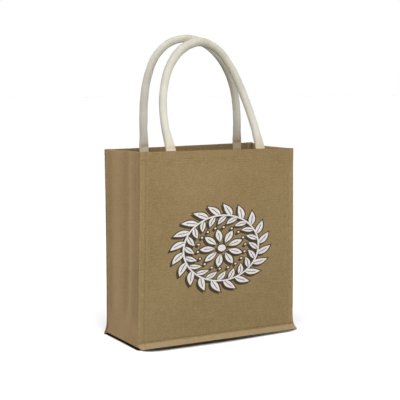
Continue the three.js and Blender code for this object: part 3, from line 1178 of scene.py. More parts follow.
    def panel_y(self, facing: Facing, x: float, up: float) -> float:
        """Y of the middle of a panel's cloth.

        Args:
            facing, x, up: Which panel, place across it and height.

        Returns:
            Y with the panel's skirt, swell, slow waves and fine relief.
        """
        skirt = max(0.0, 1 - up / self.skirt_height)
        left, right = self.edges(facing, up, self.seam_allowance)
        t = clamp((x - left) / (right - left))
        rise = clamp((up - self.skirt_height) / (self.height - self.skirt_height))
        fullness = sin(pi * t) ** 2 * sin(pi * rise)
        out = self.swell * fullness
        for wave in WAVES:
            angle = facing.value * x / wave.across + up / wave.up + wave.phase
            out += wave.depth * fullness * sin(angle * pi)
        out += self.panel_relief(facing, x, up)
        return facing.value * (self.panel_depth + self.skirt_flare * skirt**1.4 + out)

    def laid_offset(self, facing: Facing, x: float, up: float) -> float:
        """Distance in Y that leaves one laid step square to a panel's tilted cloth."""
        reach = 0.5
        rise = self.panel_y(facing, x, up + reach) - self.panel_y(facing, x, up - reach)
        return (self.cloth + self.laid_gap) * hypot(1, rise / (2 * reach))

    def crease_shape(self, t: float) -> float:
        """Soft V across a gusset, 1 at the crease and 0 at both edges."""
        reach = hypot(1, self.crease_softness)
        bend = hypot(2 * t - 1, self.crease_softness)
        return (reach - bend) / (reach - self.crease_softness)

    def gusset_relief(self, side: Side, t: float, up: float) -> float:
        """Fine outward relief of a gusset: pressed folds, hem rows and slack.

        Args:
            side: Which gusset.
            t: Share across it, from the front edge to the back edge.
            up: Height.

        Returns:
            Outward relief.
        """
        seed = 11.0 if side is Side.LEFT else 14.0
        reach = ramp(up, 20, 90)
        relief = sum(fold.rise * reach * bell(t - fold.share, fold.width) for fold in GUSSET_FOLDS)
        below = self.rim_height(Facing.FRONT, side.value * self.height) - up
        for row in self.hem_rows:
            relief -= self.gusset_groove * bell(below - row, self.hem_groove_width)
        inner = ramp(t, 0.03, 0.16) * ramp(1 - t, 0.03, 0.16) * ramp(up, 8, 30)
        slack = drift(seed, t * 5.0, up / 60.0) + 0.5 * drift(seed + 1, t * 9.0, up / 24.0)
        return (relief + self.gusset_slack * slack) * inner

    def hem_steps(self) -> list[tuple[float, float, float]]:
        """Rows of a hem that turns over a rim and lies on the inside of its cloth.

        Returns:
            Inward step, rise and length along the cloth of each row after the rim's.
        """
        made = []
        radius = self.hem_fold
        for k in range(1, self.hem_fold_rows + 1):
            angle = pi * k / self.hem_fold_rows
            made.append((radius * (1 - cos(angle)), radius * sin(angle), radius * angle))
        for level in graded(0, [(self.hem_depth, self.hem_step)])[1:]:
            made.append((2 * radius, -level, radius * pi + level))
        return made

    def handle_y(self, facing: Facing, x: float, up: float) -> float:
        """Y of a handle's middle.

        Args:
            facing, x, up: Which handle, place across and height.

        Returns:
            Y on the hem below the rim, and leaning in above it.
        """
        lean = LEANS[facing]
        rim = self.rim_height(facing, x)
        on_panel = self.panel_y(facing, x, min(up, rim))
        inside = self.cloth + 2 * self.hem_fold + self.laid_gap + self.tape_half_thickness
        tape = on_panel - facing.value * (inside - self.half_cloth)
        rise = max(0.0, (up - rim) / self.arch_height)
        eased = (1 + lean.ease) * rise - lean.ease * rise * rise
        return tape - facing.value * lean.reach * eased


def graded(start: float, parts: Sequence[tuple[float, float]]) -> list[float]:
    """Levels from start, with an even step in each part.

    Args:
        start: First level.
        parts: End and largest step of each part.

    Returns:
        The levels, both ends included.
    """
    levels = [start]
    for end, step in parts:
        low = levels[-1]
        count = max(1, ceil((end - low) / step))
        levels.extend(low + (end - low) * (k + 1) / count for k in range(count))
    return levels


# Cloth meshes


class ClothPoint(NamedTuple):
    """Point of a cloth's middle surface, its place on the flat cloth, body and painted light and
    shade.

    Attributes:
        x, y, z: Place in the bag.
        across, along: Place on the flat cloth.
        body: Extra thickness on the outside.
        worn: Painted light where above 0 and painted shade below it, as a share of the tones.
    """

    x: float
    y: float
    z: float
    across: float
    along: float
    body: float = 0.0
    worn: float = 0.0


class ClothMesh:
    """Collects the middle surface of one cloth as quads and gives it thickness."""

    UV_NAME = "cloth_place"
    # Attribute of the painted light and shade on the jute pieces and of the warm tint on the handles'
    # tape ends.
    SHADING_AND_TINT_NAME = "worn"
    EDGE_STEPS = 4
    EDGE_ROUND = 0.55

    def __init__(self, half: float) -> None:
        """Starts an empty cloth.

        Args:
            half: Half of the cloth's thickness in millimetres.
        """
        self.half = half
        self.points: list[ClothPoint] = []
        self.quads: list[tuple[int, int, int, int]] = []

    def add_row(self, row: Sequence[ClothPoint]) -> list[int]:
        """Adds points and returns their numbers."""
        first = len(self.points)
        self.points.extend(row)
        return list(range(first, first + len(row)))

    def join(self, lower: Sequence[int], upper: Sequence[int]) -> None:
        """Joins two rows of point numbers with quads that face the same way."""
        for i in range(len(lower) - 1):
            self.quads.append((lower[i], lower[i + 1], upper[i + 1], upper[i]))

    def add_rows(self, rows: Iterable[Sequence[ClothPoint]]) -> list[list[int]]:
        """Adds rows, joins each to the next and returns their point numbers."""
        numbers = [self.add_row(row) for row in rows]
        for lower, upper in zip(numbers, numbers[1:]):
            self.join(lower, upper)
        return numbers

    def _normals(self, places: np.ndarray, quads: np.ndarray) -> tuple[np.ndarray, np.ndarray]:
        """Unit normals of the quads, and at the points with their mitre in the length.

        Args:
            places: Points of the middle surface.
            quads: Their numbers for each quad.

        Returns:
            Normals of the quads and of the points.
        """
        a, b, c, d = (places[quads[:, k]] for k in range(4))
        flat = np.cross(c - a, d - b)
        flat /= norm(flat, axis=1, keepdims=True)
        total = np.zeros_like(places)
        count = np.zeros(len(places))
        for k in range(4):
            np.add.at(total, quads[:, k], flat)
            np.add.at(count, quads[:, k], 1.0)
        length = norm(total, axis=1)
        unit = total / length[:, None]
        return flat, unit * (count / length)[:, None]

    def _rim(self, flat: np.ndarray, places: np.ndarray) -> tuple[list[Edge], np.ndarray]:
        """Edges with cloth on one side only, and the way out of the cloth at each point.

        Args:
            flat: Normals of the quads.
            places: Points of the middle surface.

        Returns:
            The edges and the ways out.
        """
        edges: dict[Edge, int] = {}
        for number, quad in enumerate(self.quads):
            for k in range(4):
                pair = (quad[k], quad[(k + 1) % 4])
                if (pair[1], pair[0]) in edges:
                    del edges[(pair[1], pair[0])]
                else:
                    edges[pair] = number
        out = np.zeros_like(places)
        for (start, end), number in edges.items():
            way = places[end] - places[start]
            away = np.cross(way / norm(way), flat[number])
            out[start] += away
            out[end] += away
        return list(edges), out

    def _edge_rings(
        self, outer: np.ndarray, inner: np.ndarray, normals: np.ndarray, out: np.ndarray
    ) -> list[np.ndarray]:
        """Rows of points that round the cloth's edge from its outside to its inside.

        Args:
            outer, inner: Points of the edge on both faces of the cloth.
            normals: Way out of the cloth's face at each.
            out: Way out of the cloth's edge at each.

        Returns:
            Points of each row.
        """
        unit = normals / norm(normals, axis=1, keepdims=True)
        way = out - unit * np.sum(out * unit, axis=1, keepdims=True)
        way /= norm(way, axis=1, keepdims=True)
        rings = []
        for k in range(1, self.EDGE_STEPS):
            angle = pi * k / self.EDGE_STEPS
            share = (1 + cos(angle)) / 2
            middle = outer * share + inner * (1 - share)
            rings.append(middle + way * (self.half * self.EDGE_ROUND * sin(angle)))
        return rings

    def _edge_faces(self, edges: Sequence[Edge], rim: Sequence[int]) -> list[tuple[int, ...]]:
        """Quads that close the cloth's edge.

        Args:
            edges: Edges with cloth on one side only.
            rim: Numbers of all points on them, in the order of the edge's rings.

        Returns:
            Vertex numbers of each quad.
        """
        count = len(self.points)
        columns = {}
        for k, number in enumerate(rim):
            between = [2 * count + step * len(rim) + k for step in range(self.EDGE_STEPS - 1)]
            columns[number] = [number, *between, count + number]
        faces = []
        for start, end in edges:
            here, there = columns[start], columns[end]
            for k in range(self.EDGE_STEPS):
                faces.append((here[k], here[k + 1], there[k + 1], there[k]))
        return faces

    def build(self, name: str) -> Object:
        """Makes the closed mesh with rounded edges.

        Args:
            name: Name of the piece.

        Returns:
            The new object, in metres.
        """
        table = np.array(self.points)
        places, uvs, body, worn = table[:, :3], table[:, 3:5], table[:, 5:6], table[:, 6]
        flat, normals = self._normals(places, np.array(self.quads))
        edges, out = self._rim(flat, places)
        outer = places + normals * (self.half + body)
        inner = places - normals * self.half
        rim = np.array(sorted({number for edge in edges for number in edge}))
        rings = self._edge_rings(outer[rim], inner[rim], normals[rim], out[rim])
        count = len(places)
        faces = list(self.quads)
        faces += [tuple(count + number for number in reversed(quad)) for quad in self.quads]
        faces += self._edge_faces(edges, rim.tolist())
        source = np.concatenate([np.arange(count)] * 2 + [rim] * len(rings))
        vertices = np.concatenate([outer, inner, *rings]) * MM
        marks = {self.SHADING_AND_TINT_NAME: worn[source]}
        return make_object(name, vertices, faces, uvs[source] * MM, marks)


def place_object(name: str, data: ID) -> Object:
    """Makes the object of a mesh, light or camera and links it to the scene."""
    made = bpy.data.objects.new(name, data)
    bpy.context.scene.collection.objects.link(made)
    return made


def make_object(
    name: str,
    vertices: np.ndarray,
    faces: Sequence[Sequence[int]],
    uvs: np.ndarray,
    marks: Mapping[str, np.ndarray] | None = None,
) -> Object:
    """Makes a smooth mesh object with its cloth place per vertex.

    Args:
        name: Name of the object and its mesh.
        vertices: Points in metres.
        faces: Vertex numbers of each face, facing out.
        uvs: Place on the flat cloth of each vertex in metres.
        marks: Numbers kept at each vertex for the finish, by name.

    Returns:
        The new object, linked to the scene.
    """
    mesh = bpy.data.meshes.new(name)
    mesh.from_pydata(vertices.tolist(), [], faces)
    layer = mesh.uv_layers.new(name=ClothMesh.UV_NAME)
    corners = np.empty(len(mesh.loops), dtype=np.int32)
    mesh.loops.foreach_get("vertex_index", corners)
    layer.data.foreach_set("uv", uvs[corners].ravel())
    mesh.polygons.foreach_set("use_smooth", [True] * len(mesh.polygons))
    for mark, values in (marks or {}).items():
        mesh.attributes.new(mark, "FLOAT", "POINT").data.foreach_set("value", values)
    mesh.validate()
    mesh.update()
    return place_object(name, mesh)


def dress(piece: Object, finish: Material) -> None:
    """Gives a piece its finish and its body."""
    piece.data.materials.clear()
    piece.data.materials.append(finish)
    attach(piece, "root")


@dataclass(frozen=True)
class Panel:
    """Large front or back panel, one sheet with its top hem turned in."""

    form: BagForm
    facing: Facing
    step: float = 2.7
    fine_step: float = 1.35
    band_step: float = 1.1
    width: float = 340.0
    fine_foot: float = 18.0
    fine_rim: float = 340.0
    edge_body: float = 0.5
    edge_fade: float = 3.4
    # Painted shade on the hem turned in inside the bag.
    hem_painted_shade: float = -0.14
    flat: tuple[float, float] = (0.348, 0.396)

    @property
    def node(self) -> str:
        """Name of the solid that the panel stands for."""
        return f"{self.facing.name.lower()}_panel"

    def _columns(self) -> list[tuple[float, float]]:
        """Columns of the panel.

        Returns:
            Distance from the left or right edge and share of the free middle of each.
        """
        form = self.form
        band = graded(0, [(form.hem_clearance - form.hem_notch, self.band_step)])
        middle = ceil((self.width - 2 * form.hem_clearance) / self.step)
        columns = [(distance, 0.0) for distance in band]
        columns += [(form.hem_clearance, k / middle) for k in range(middle + 1)]
        columns += [(distance, 1.0) for distance in reversed(band)]
        return columns

    def _row(self, columns: Sequence[tuple[float, float]], level: float) -> list[ClothPoint]:
        """Points of one row.

        Args:
            columns: Columns of the panel.
            level: Height of the row before the rim's slope.

        Returns:
            The points, in the order that makes the quads face out.
        """
        form = self.form
        guess = mix(form.panel_foot, form.height, level / form.height)
        left, right = form.edges(self.facing, guess)
        row = []
        for distance, share in columns:
            x = mix(left + distance, right - distance, share)
            drop = form.fold_drop if distance >= form.hem_clearance else 0
            z = mix(form.panel_foot, form.rim_height(self.facing, x) - drop, level / form.height)
            body = self.edge_body * bell(min(x - left, right - x), self.edge_fade)
            y = form.panel_y(self.facing, x, z)
            row.append(ClothPoint(x, y, z, x, z, body, form.panel_wear(self.facing, x, z)))
        return row if self.facing is Facing.FRONT else row[::-1]

    def cloth(self) -> ClothMesh:
        """Builds the middle surface of the panel.

        Returns:
            The cloth, ready to be given thickness.
        """
        form = self.form
        cloth = ClothMesh(form.half_cloth)
        columns = self._columns()
        parts = [(self.fine_foot, self.fine_step), (self.fine_rim, self.step)]
        levels = graded(0, [*parts, (form.height, self.fine_step)])
        rows = [self._row(columns, level) for level in levels]
        numbers = cloth.add_rows(rows)
        band = sum(1 for distance, _ in columns if distance < form.hem_clearance) // 2
        keep = slice(band, len(columns) - band)
        lower = numbers[-1][keep]
        for inward, rise, length in form.hem_steps():
            row = []
            for point in rows[-1][keep]:
                z = point.z + rise
                y = form.panel_y(self.facing, point.x, z) - self.facing.value * inward
                place = (point.x, point.z + length)
                row.append(ClothPoint(point.x, y, z, *place, 0.0, self.hem_painted_shade))
            upper = cloth.add_row(row)
            cloth.join(lower, upper)
            lower = upper
        return cloth

    def build(self, finish: Material) -> Object:
        """Args:
            finish: Material of the panel.

        Returns:
            The new piece.
        """
        piece = self.cloth().build(f"{self.node}_cloth")
        dress(piece, finish)
        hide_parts(self.node)
        return piece


class Station(NamedTuple):
    """One row across the strip.

    Attributes:
        side: Gusset it belongs to, or None on the base.
        level: Height on a gusset, or None at a corner or on the base.
        bend: How far round the bottom corner, in radians.
        along: Share of the way over the base.
    """

    side: Side | None
    level: float | None
    bend: float
    along: float


class Corner(NamedTuple):
    """Corner point of a strip row in the plane of one panel, and its inward way."""

    x: float
    z: float
    in_x: float
    in_z: float
    reach: float


@dataclass(frozen=True)
class Strip:
    """Side and base strip: both gussets and the base in one length of cloth."""

    form: BagForm
    step: float = 2.9
    fine_step: float = 1.6
    fine_foot: float = 24.0
    fine_rim: float = 338.0
    base_length: float = 330.0
    wall_columns: int = 58
    corner_steps: int = 6
    turned_steps: int = 7
    fold_steps: int = 4
    band: tuple[float, ...] = (0.012, 0.024, 0.035)
    fold_from: float = 0.045
    hem_start: float = 340.0
    flat: tuple[float, float] = (0.184, 1.125)

    @property
    def _low(self) -> float:
        """Height at which the bottom corners start."""
        return self.form.half_cloth + self.form.base_corner

    @property
    def _turned(self) -> int:
        """Number of points on each turned edge."""
        return self.turned_steps + self.fold_steps

    @property
    def _shares(self) -> list[float]:
        """Shares across the wall between its two folded edges."""
        count = self.wall_columns
        start, end = self.fold_from, 1 - self.fold_from
        middle = [mix(start, end, k / count) for k in range(count + 1)]
        return [*self.band, *middle, *(1 - share for share in reversed(self.band))]

    def _stations(self) -> list[Station]:
        """Rows of the strip.

        Returns:
            The rows down the left side, over the base and up the right side.
        """
        parts = [(self.fine_foot, self.fine_step), (self.fine_rim, self.step)]
        levels = graded(self._low, [*parts, (self.form.height, self.fine_step)])[1:]
        base_rows = ceil(self.base_length / self.step)
        stations = [Station(Side.LEFT, level, 0, 0) for level in reversed(levels)]
        quarter = pi / 2
        bends = [quarter * k / self.corner_steps for k in range(self.corner_steps + 1)]
        stations += [Station(Side.LEFT, None, bend, 0) for bend in bends]
        stations += [Station(None, None, quarter, k / base_rows) for k in range(1, base_rows)]
        stations += [Station(Side.RIGHT, None, bend, 1) for bend in reversed(bends)]
        stations += [Station(Side.RIGHT, level, 0, 1) for level in levels]
        return stations

    def _corner(self, station: Station, facing: Facing) -> Corner:
        """Corner point of a row in the plane of one panel.

        Args:
            station: The row.
            facing: Which panel.

        Returns:
            The corner point.
        """
        form, low = self.form, self._low
        if station.level is not None:
            rim = RIMS[facing]
            top = (rim.left if station.side is Side.LEFT else rim.right) - form.wall_top_drop
            z = mix(low, top, (station.level - low) / (form.height - low))
            x = form.edge(facing, station.side, z, "wall")
            return Corner(x, z, -station.side.value, 0, z - low)
        left, right = form.edges(facing, low, form.base_corner, "wall")
        if station.side is None:
            x = mix(left, right, station.along)
            return Corner(x, form.half_cloth, 0, 1, min(x - left, right - x))
        centre = left if station.side is Side.LEFT else right
        out, down = cos(station.bend), sin(station.bend)
        return Corner(
            centre + station.side.value * form.base_corner * out,
            low - form.base_corner * down,
            -station.side.value * out,
            down,
            0,
        )

    def _turned_edge(self, station: Station, facing: Facing) -> list[Place]:
        """Points of the turned edge beside one panel, from its free edge to the fold.

        Args:
            station: The row.
            facing: Which panel.

        Returns:
            The points.
        """
        form = self.form
        corner = self._corner(station, facing)
        opening = min(1.0, corner.reach / form.base_notch_reach)
        width = mix(form.notch_allowance, form.seam_allowance, opening)
        last = self.turned_steps - 1
        steps = [(mix(width, form.seam_fold, k / last), 0.0) for k in range(self.turned_steps)]
        for k in range(1, self.fold_steps + 1):
            angle = pi / 2 * k / self.fold_steps
            inward = form.seam_fold * (1 - sin(angle))
            steps.append((inward, form.seam_fold * (1 - cos(angle))))
        points = []
        for inward, off in steps:
            x = corner.x + corner.in_x * inward
            z = corner.z + corner.in_z * inward
            laid = form.laid_offset(facing, x, z) + off
            points.append((x, form.panel_y(facing, x, z) - facing.value * laid, z))
        return points

    def _row(self, station: Station) -> list[Place]:
        """Points of one row, from the front turned edge to the back one.

        Args:
            station: The row.

        Returns:
            The points.
        """
        form = self.form
        front = self._turned_edge(station, Facing.FRONT)
        back = self._turned_edge(station, Facing.BACK)
        start, end = front[-1], back[-1]
        row = list(front)
        for share in self._shares:
            x, y, z = (mix(start[k], end[k], share) for k in range(3))
            if station.level is not None and self.fold_from <= share <= 1 - self.fold_from:
                above = station.level - self.hem_start
                z -= form.fold_drop * clamp(above / (form.height - self.hem_start))
            if station.side is not None:
                column = station.side.name.lower()
                pull = column_at(CREASES, z, column) * form.crease_shape(share)
                full = column_at(CREASES, z, "fullness") * sin(2 * pi * share) ** 2
                full += form.gusset_relief(station.side, share, z)
                x -= station.side.value * (pull - full)
            row.append((x, y, z))
        return row + back[::-1]

    def cloth(self) -> ClothMesh:
        """Builds the middle surface of the strip.

        Returns:
            The cloth, ready to be given thickness.
        """
        cloth = ClothMesh(self.form.half_cloth)
        stations = self._stations()
        places = np.array([self._row(station) for station in stations])
        along = self._lengths(places[:, places.shape[1] // 4])
        across = self._lengths(places[len(places) // 2])
        width = across[-1 - self._turned] - across[self._turned]
        rows = []
        for row, length, station in zip(places.tolist(), along, stations):
            points = []
            for point, u in zip(row, across):
                share = (u - across[self._turned]) / width
                # Painted light and shade down the gussets' folds.
                worn = self.form.gusset_painted_shading(share, point[2]) if station.side else 0.0
                points.append(ClothPoint(*point, u, length, 0.0, worn))
            rows.append(points)
        numbers = cloth.add_rows(rows)
        first = self._turned + len(self.band)
        keep = slice(first, len(rows[0]) - first)
        self._add_hem(cloth, numbers[0][keep], Side.LEFT)
        self._add_hem(cloth, numbers[-1][keep], Side.RIGHT)
        return cloth

    @staticmethod
    def _lengths(line: np.ndarray) -> np.ndarray:
        """Length along a line of points up to each of them."""
        return np.concatenate([[0], np.cumsum(norm(np.diff(line, axis=0), axis=1))])

    @staticmethod
    def _hem_point(point: ClothPoint, sign: int, step: tuple[float, float, float]) -> ClothPoint:
        """Point of a gusset's hem, one step of it on from the point at its rim."""
        inward, rise, length = step
        x, z = point.x - sign * inward, point.z + rise
        return ClothPoint(x, point.y, z, point.across, point.along + sign * length)

    def _add_hem(self, cloth: ClothMesh, lower: list[int], side: Side) -> None:
        """Turns the top of one gusset in.

        Args:
            cloth: Cloth of the strip.
            lower: Point numbers of the gusset's top row.
            side: Which gusset.
        """
        top = [cloth.points[number] for number in lower]
        for step in self.form.hem_steps():
            upper = cloth.add_row([self._hem_point(point, side.value, step) for point in top])
            pair = (upper, lower) if side is Side.LEFT else (lower, upper)
            cloth.join(*pair)
            lower = upper

    def build(self, finish: Material) -> Object:
        """Args:
            finish: Material of the strip.

        Returns:
            The new piece.
        """
        piece = self.cloth().build("side_and_base_cloth")
        dress(piece, finish)
        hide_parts("side_and_base_strip")
        return piece


# Handles


class Section(NamedTuple):
    """Place and section of a handle."""

    across: float
    up: float
    half_width: float
    half_thickness: float
    squareness: float


class Ring(NamedTuple):
    """Ring of points round a handle, with its unit ways over width and thickness."""

    centre: np.ndarray
    wide: np.ndarray
    thick: np.ndarray
    section: Section
    high: float
    length: float


class Lump(NamedTuple):
    """Slight lumps of a stuffed tube."""

    rise: float
    length: float
    turns: float
    start: float
    end: float


@dataclass(frozen=True)
class Handle:
    """Stuffed cotton handle with two flat tape ends sewn inside the hem."""

    PAINTED_SHADE_NAME: ClassVar[str] = "soiled"
    TANGENT_STEP: ClassVar[float] = 0.01

    form: BagForm
    facing: Facing
    sides: int = 40
    step: float = 2.6
    girth_radius: float = 7.8
    lumps: tuple[Lump, ...] = (Lump(0.32, 13.0, 1.1, 8, 30), Lump(0.14, 4.0, 2.0, 6, 20))
    pinch: float = 0.10
    pinch_place: float = 4.2
    pinch_width: float = 1.3
    tape_levels: tuple[float, ...] = (1.0, 0.5)
    tape_neck: float = 6.0
    warm_reach: tuple[float, float] = (1, 26)

    @property
    def node(self) -> str:
        """Name of the solid that the handle stands for."""
        return f"{self.facing.name.lower()}_handle"

    def _end_sections(self, end: ArchRow, beyond: ArchRow) -> list[Section]:
        """Sections of one tape end and its change to the tube.

        Args:
            end: End of the arch.
            beyond: Its next row.

        Returns:
            The sections, from the tape's end up.
        """
        form = self.form
        rim = form.rim_height(self.facing, end.across)
        tape = (form.tape_half_width, form.tape_half_thickness, form.tape_squareness)
        heights = [-form.tape_drop * share for share in self.tape_levels]
        heights += [-self.tape_neck, form.tape_rise]
        made = [Section(end.across, rim + above, *tape) for above in heights]
        for row in TAPE_TO_TUBE:
            up = rim + row.above
            t = (up - end.up) / (beyond.up - end.up)
            across = mix(end.across, beyond.across, t)
            made.append(Section(across, up, *row[1:]))
        return made

    def _sections(self) -> list[Section]:
        """Sections from one tape end to the other."""
        arch = ARCHES[self.facing]
        rise = self._end_sections(arch[0], arch[1])
        fall = self._end_sections(arch[-1], arch[-2])
        tube = [Section(row.across, row.up, row.radius, row.radius, 2) for row in arch[1:-1]]
        return [*rise, *tube, *reversed(fall)]

    @staticmethod
    def _curve(points: np.ndarray, span: int, t: float) -> np.ndarray:
        """Point of the centripetal Catmull-Rom curve through points.

        Args:
            points: Points that the curve goes through.
            span: Number of the span between two of them.
            t: Share of the way over the span.

        Returns:
            The point.
        """
        before = points[span - 1] if span > 0 else 2 * points[0] - points[1]
        start, end = points[span], points[span + 1]
        after = points[span + 2] if span + 2 < len(points) else 2 * points[-1] - points[-2]
        first = norm(start - before) ** 0.5
        middle = norm(end - start) ** 0.5
        last = norm(after - end) ** 0.5
        leave = (start - before) / first - (end - before) / (first + middle)
        leave = (leave + (end - start) / middle) * middle
        reach = (end - start) / middle - (after - start) / (middle + last)
        reach = (reach + (after - end) / last) * middle
        return curve(t, start, leave, end, reach)

    def _ring(self, points: np.ndarray, sections: Sequence[Section], span: int, t: float) -> Ring:
        """One ring of the handle, with no length yet.

        Args:
            points: Middles of the sections.
            sections: The sections.
            span: Number of the span between two of them.
            t: Share of the way over the span.

        Returns:
            The ring.
        """
        here = self._curve(points, span, t)
        back = self._curve(points, span, max(0.0, t - self.TANGENT_STEP))
        ahead = self._curve(points, span, min(1.0, t + self.TANGENT_STEP))
        way = (ahead - back) / norm(ahead - back)
        wide = np.cross(np.array([0.0, 1.0, 0.0]), way)
        wide /= norm(wide)
        section = Section(*(mix(sections[span][k], sections[span + 1][k], t) for k in range(5)))
        high = here[2] - self.form.rim_height(self.facing, here[0])
        return Ring(here, wide, np.cross(way, wide), section, high, 0.0)

    def _rings(self) -> list[Ring]:
        """Rings of the handle.

        Returns:
            The rings from one tape end to the other.
        """
        sections = self._sections()
        middles = [(s.across, self.form.handle_y(self.facing, s.across, s.up), s.up) for s in sections]
        points = np.array(middles)
        spans = len(sections) - 1
        rings: list[Ring] = []
        length = 0.0
        for span in range(spans):
            count = max(2, ceil(norm(points[span + 1] - points[span]) / self.step))
            steps = [k / count for k in range(count)] + ([1.0] if span == spans - 1 else [])
            for t in steps:
                ring = self._ring(points, sections, span, t)
                if rings:
                    length += float(norm(ring.centre - rings[-1].centre))
                rings.append(ring._replace(length=length))
        return rings

    def _point(self, ring: Ring, angle: float) -> np.ndarray:
        """Point of the handle's skin.

        Args:
            ring: Ring that it lies on.
            angle: Angle round the ring in radians.

        Returns:
            The point in millimetres.
        """
        c, s = cos(angle), sin(angle)
        seed = 21.0 if self.facing is Facing.FRONT else 27.0
        lump = 0.0
        for number, row in enumerate(self.lumps):
            place = (ring.length / row.length, c * row.turns, s * row.turns)
            wave = drift(seed + 2 * number, *place)
            lump += row.rise * wave * ramp(ring.high, row.start, row.end)
        power = 2 / ring.section.squareness
        pinched = 1 - self.pinch * bell(ring.high - self.pinch_place, self.pinch_width)
        out_wide = (ring.section.half_width + lump) * copysign(abs(c) ** power, c)
        thin = ring.section.half_thickness * pinched + lump
        out_thick = thin * copysign(abs(s) ** power, s)
        point = ring.centre + ring.wide * out_wide + ring.thick * out_thick
        if ring.high < 0:
            beside = self.form.panel_y(self.facing, point[0], point[2])
            point[1] += beside - self.form.panel_y(self.facing, ring.centre[0], point[2])
        return point

    def build(self, finish: Material) -> Object:
        """Args:
            finish: Material of the handle.

        Returns:
            The new piece.
        """
        rings = self._rings()
        girth = 2 * pi * self.girth_radius
        vertices, uvs, warm, soiled = [], [], [], []
        for number, ring in enumerate(rings):
            for k in range(self.sides):
                angle = 2 * pi * (k + 0.5) / self.sides
                vertices.append(self._point(ring, angle))
                uvs.append((girth * k / self.sides, ring.length))
                warm.append(1 - ramp(ring.high, *self.warm_reach))
                soiled.append(self._painted_shade(number / (len(rings) - 1), cos(angle)))
        marks = {ClothMesh.SHADING_AND_TINT_NAME: np.array(warm), self.PAINTED_SHADE_NAME: np.array(soiled)}
        places, cloth = np.array(vertices) * MM, np.array(uvs) * MM
        made = make_object(f"{self.node}_cloth", places, self._faces(len(rings)), cloth, marks)
        self._close_uv(made, girth * MM)
        dress(made, finish)
        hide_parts(self.node)
        return made

    def _painted_shade(self, share: float, inward: float) -> float:
        """How much painted shade the handle has.

        Args:
            share: Share of the way from its left to its right end.
            inward: 1 on the arch's inner side and -1 on its outer side.

        Returns:
            0 where it has none to 1.
        """
        amount = 0.0
        for row in PAINTED_HANDLE_SHADES[self.facing]:
            depth = row.around + row.inner * ramp(inward, -0.6, 0.8)
            amount += depth * bell(share - row.share, row.width)
        return clamp(amount)

    def _faces(self, rings: int) -> list[tuple[int, ...]]:
        """Quads between the rings and one face at each end.

        Args:
            rings: Number of rings.

        Returns:
            Vertex numbers of each face.
        """
        faces: list[tuple[int, ...]] = []
        for ring in range(rings - 1):
            low, high = ring * self.sides, (ring + 1) * self.sides
            for k in range(self.sides):
                after = (k + 1) % self.sides
                faces.append((low + k, low + after, high + after, high + k))
        last = (rings - 1) * self.sides
        faces.append(tuple(reversed(range(self.sides))))
        faces.append(tuple(range(last, last + self.sides)))
        return faces

    def _close_uv(self, made: Object, girth: float) -> None:
        """Carries the cloth place across the line where the last side meets the first.

        Args:
            made: The handle.
            girth: Length of the cloth round it in metres.
        """
        layer = made.data.uv_layers[ClothMesh.UV_NAME]
        for face in made.data.polygons:
            if len(face.vertices) != 4:
                continue
            around = [number % self.sides for number in face.vertices]
            if max(around) - min(around) > 1:
                for loop, k in zip(face.loop_indices, around):
                    if k == 0:
                        layer.data[loop].uv[0] += girth


# Stitches


@dataclass(frozen=True)
class SeamRow:
    """One row of stitches: its line in millimetres, its way out and its seed."""

    points: tuple[Place, ...]
    outward: Place
    seed: int


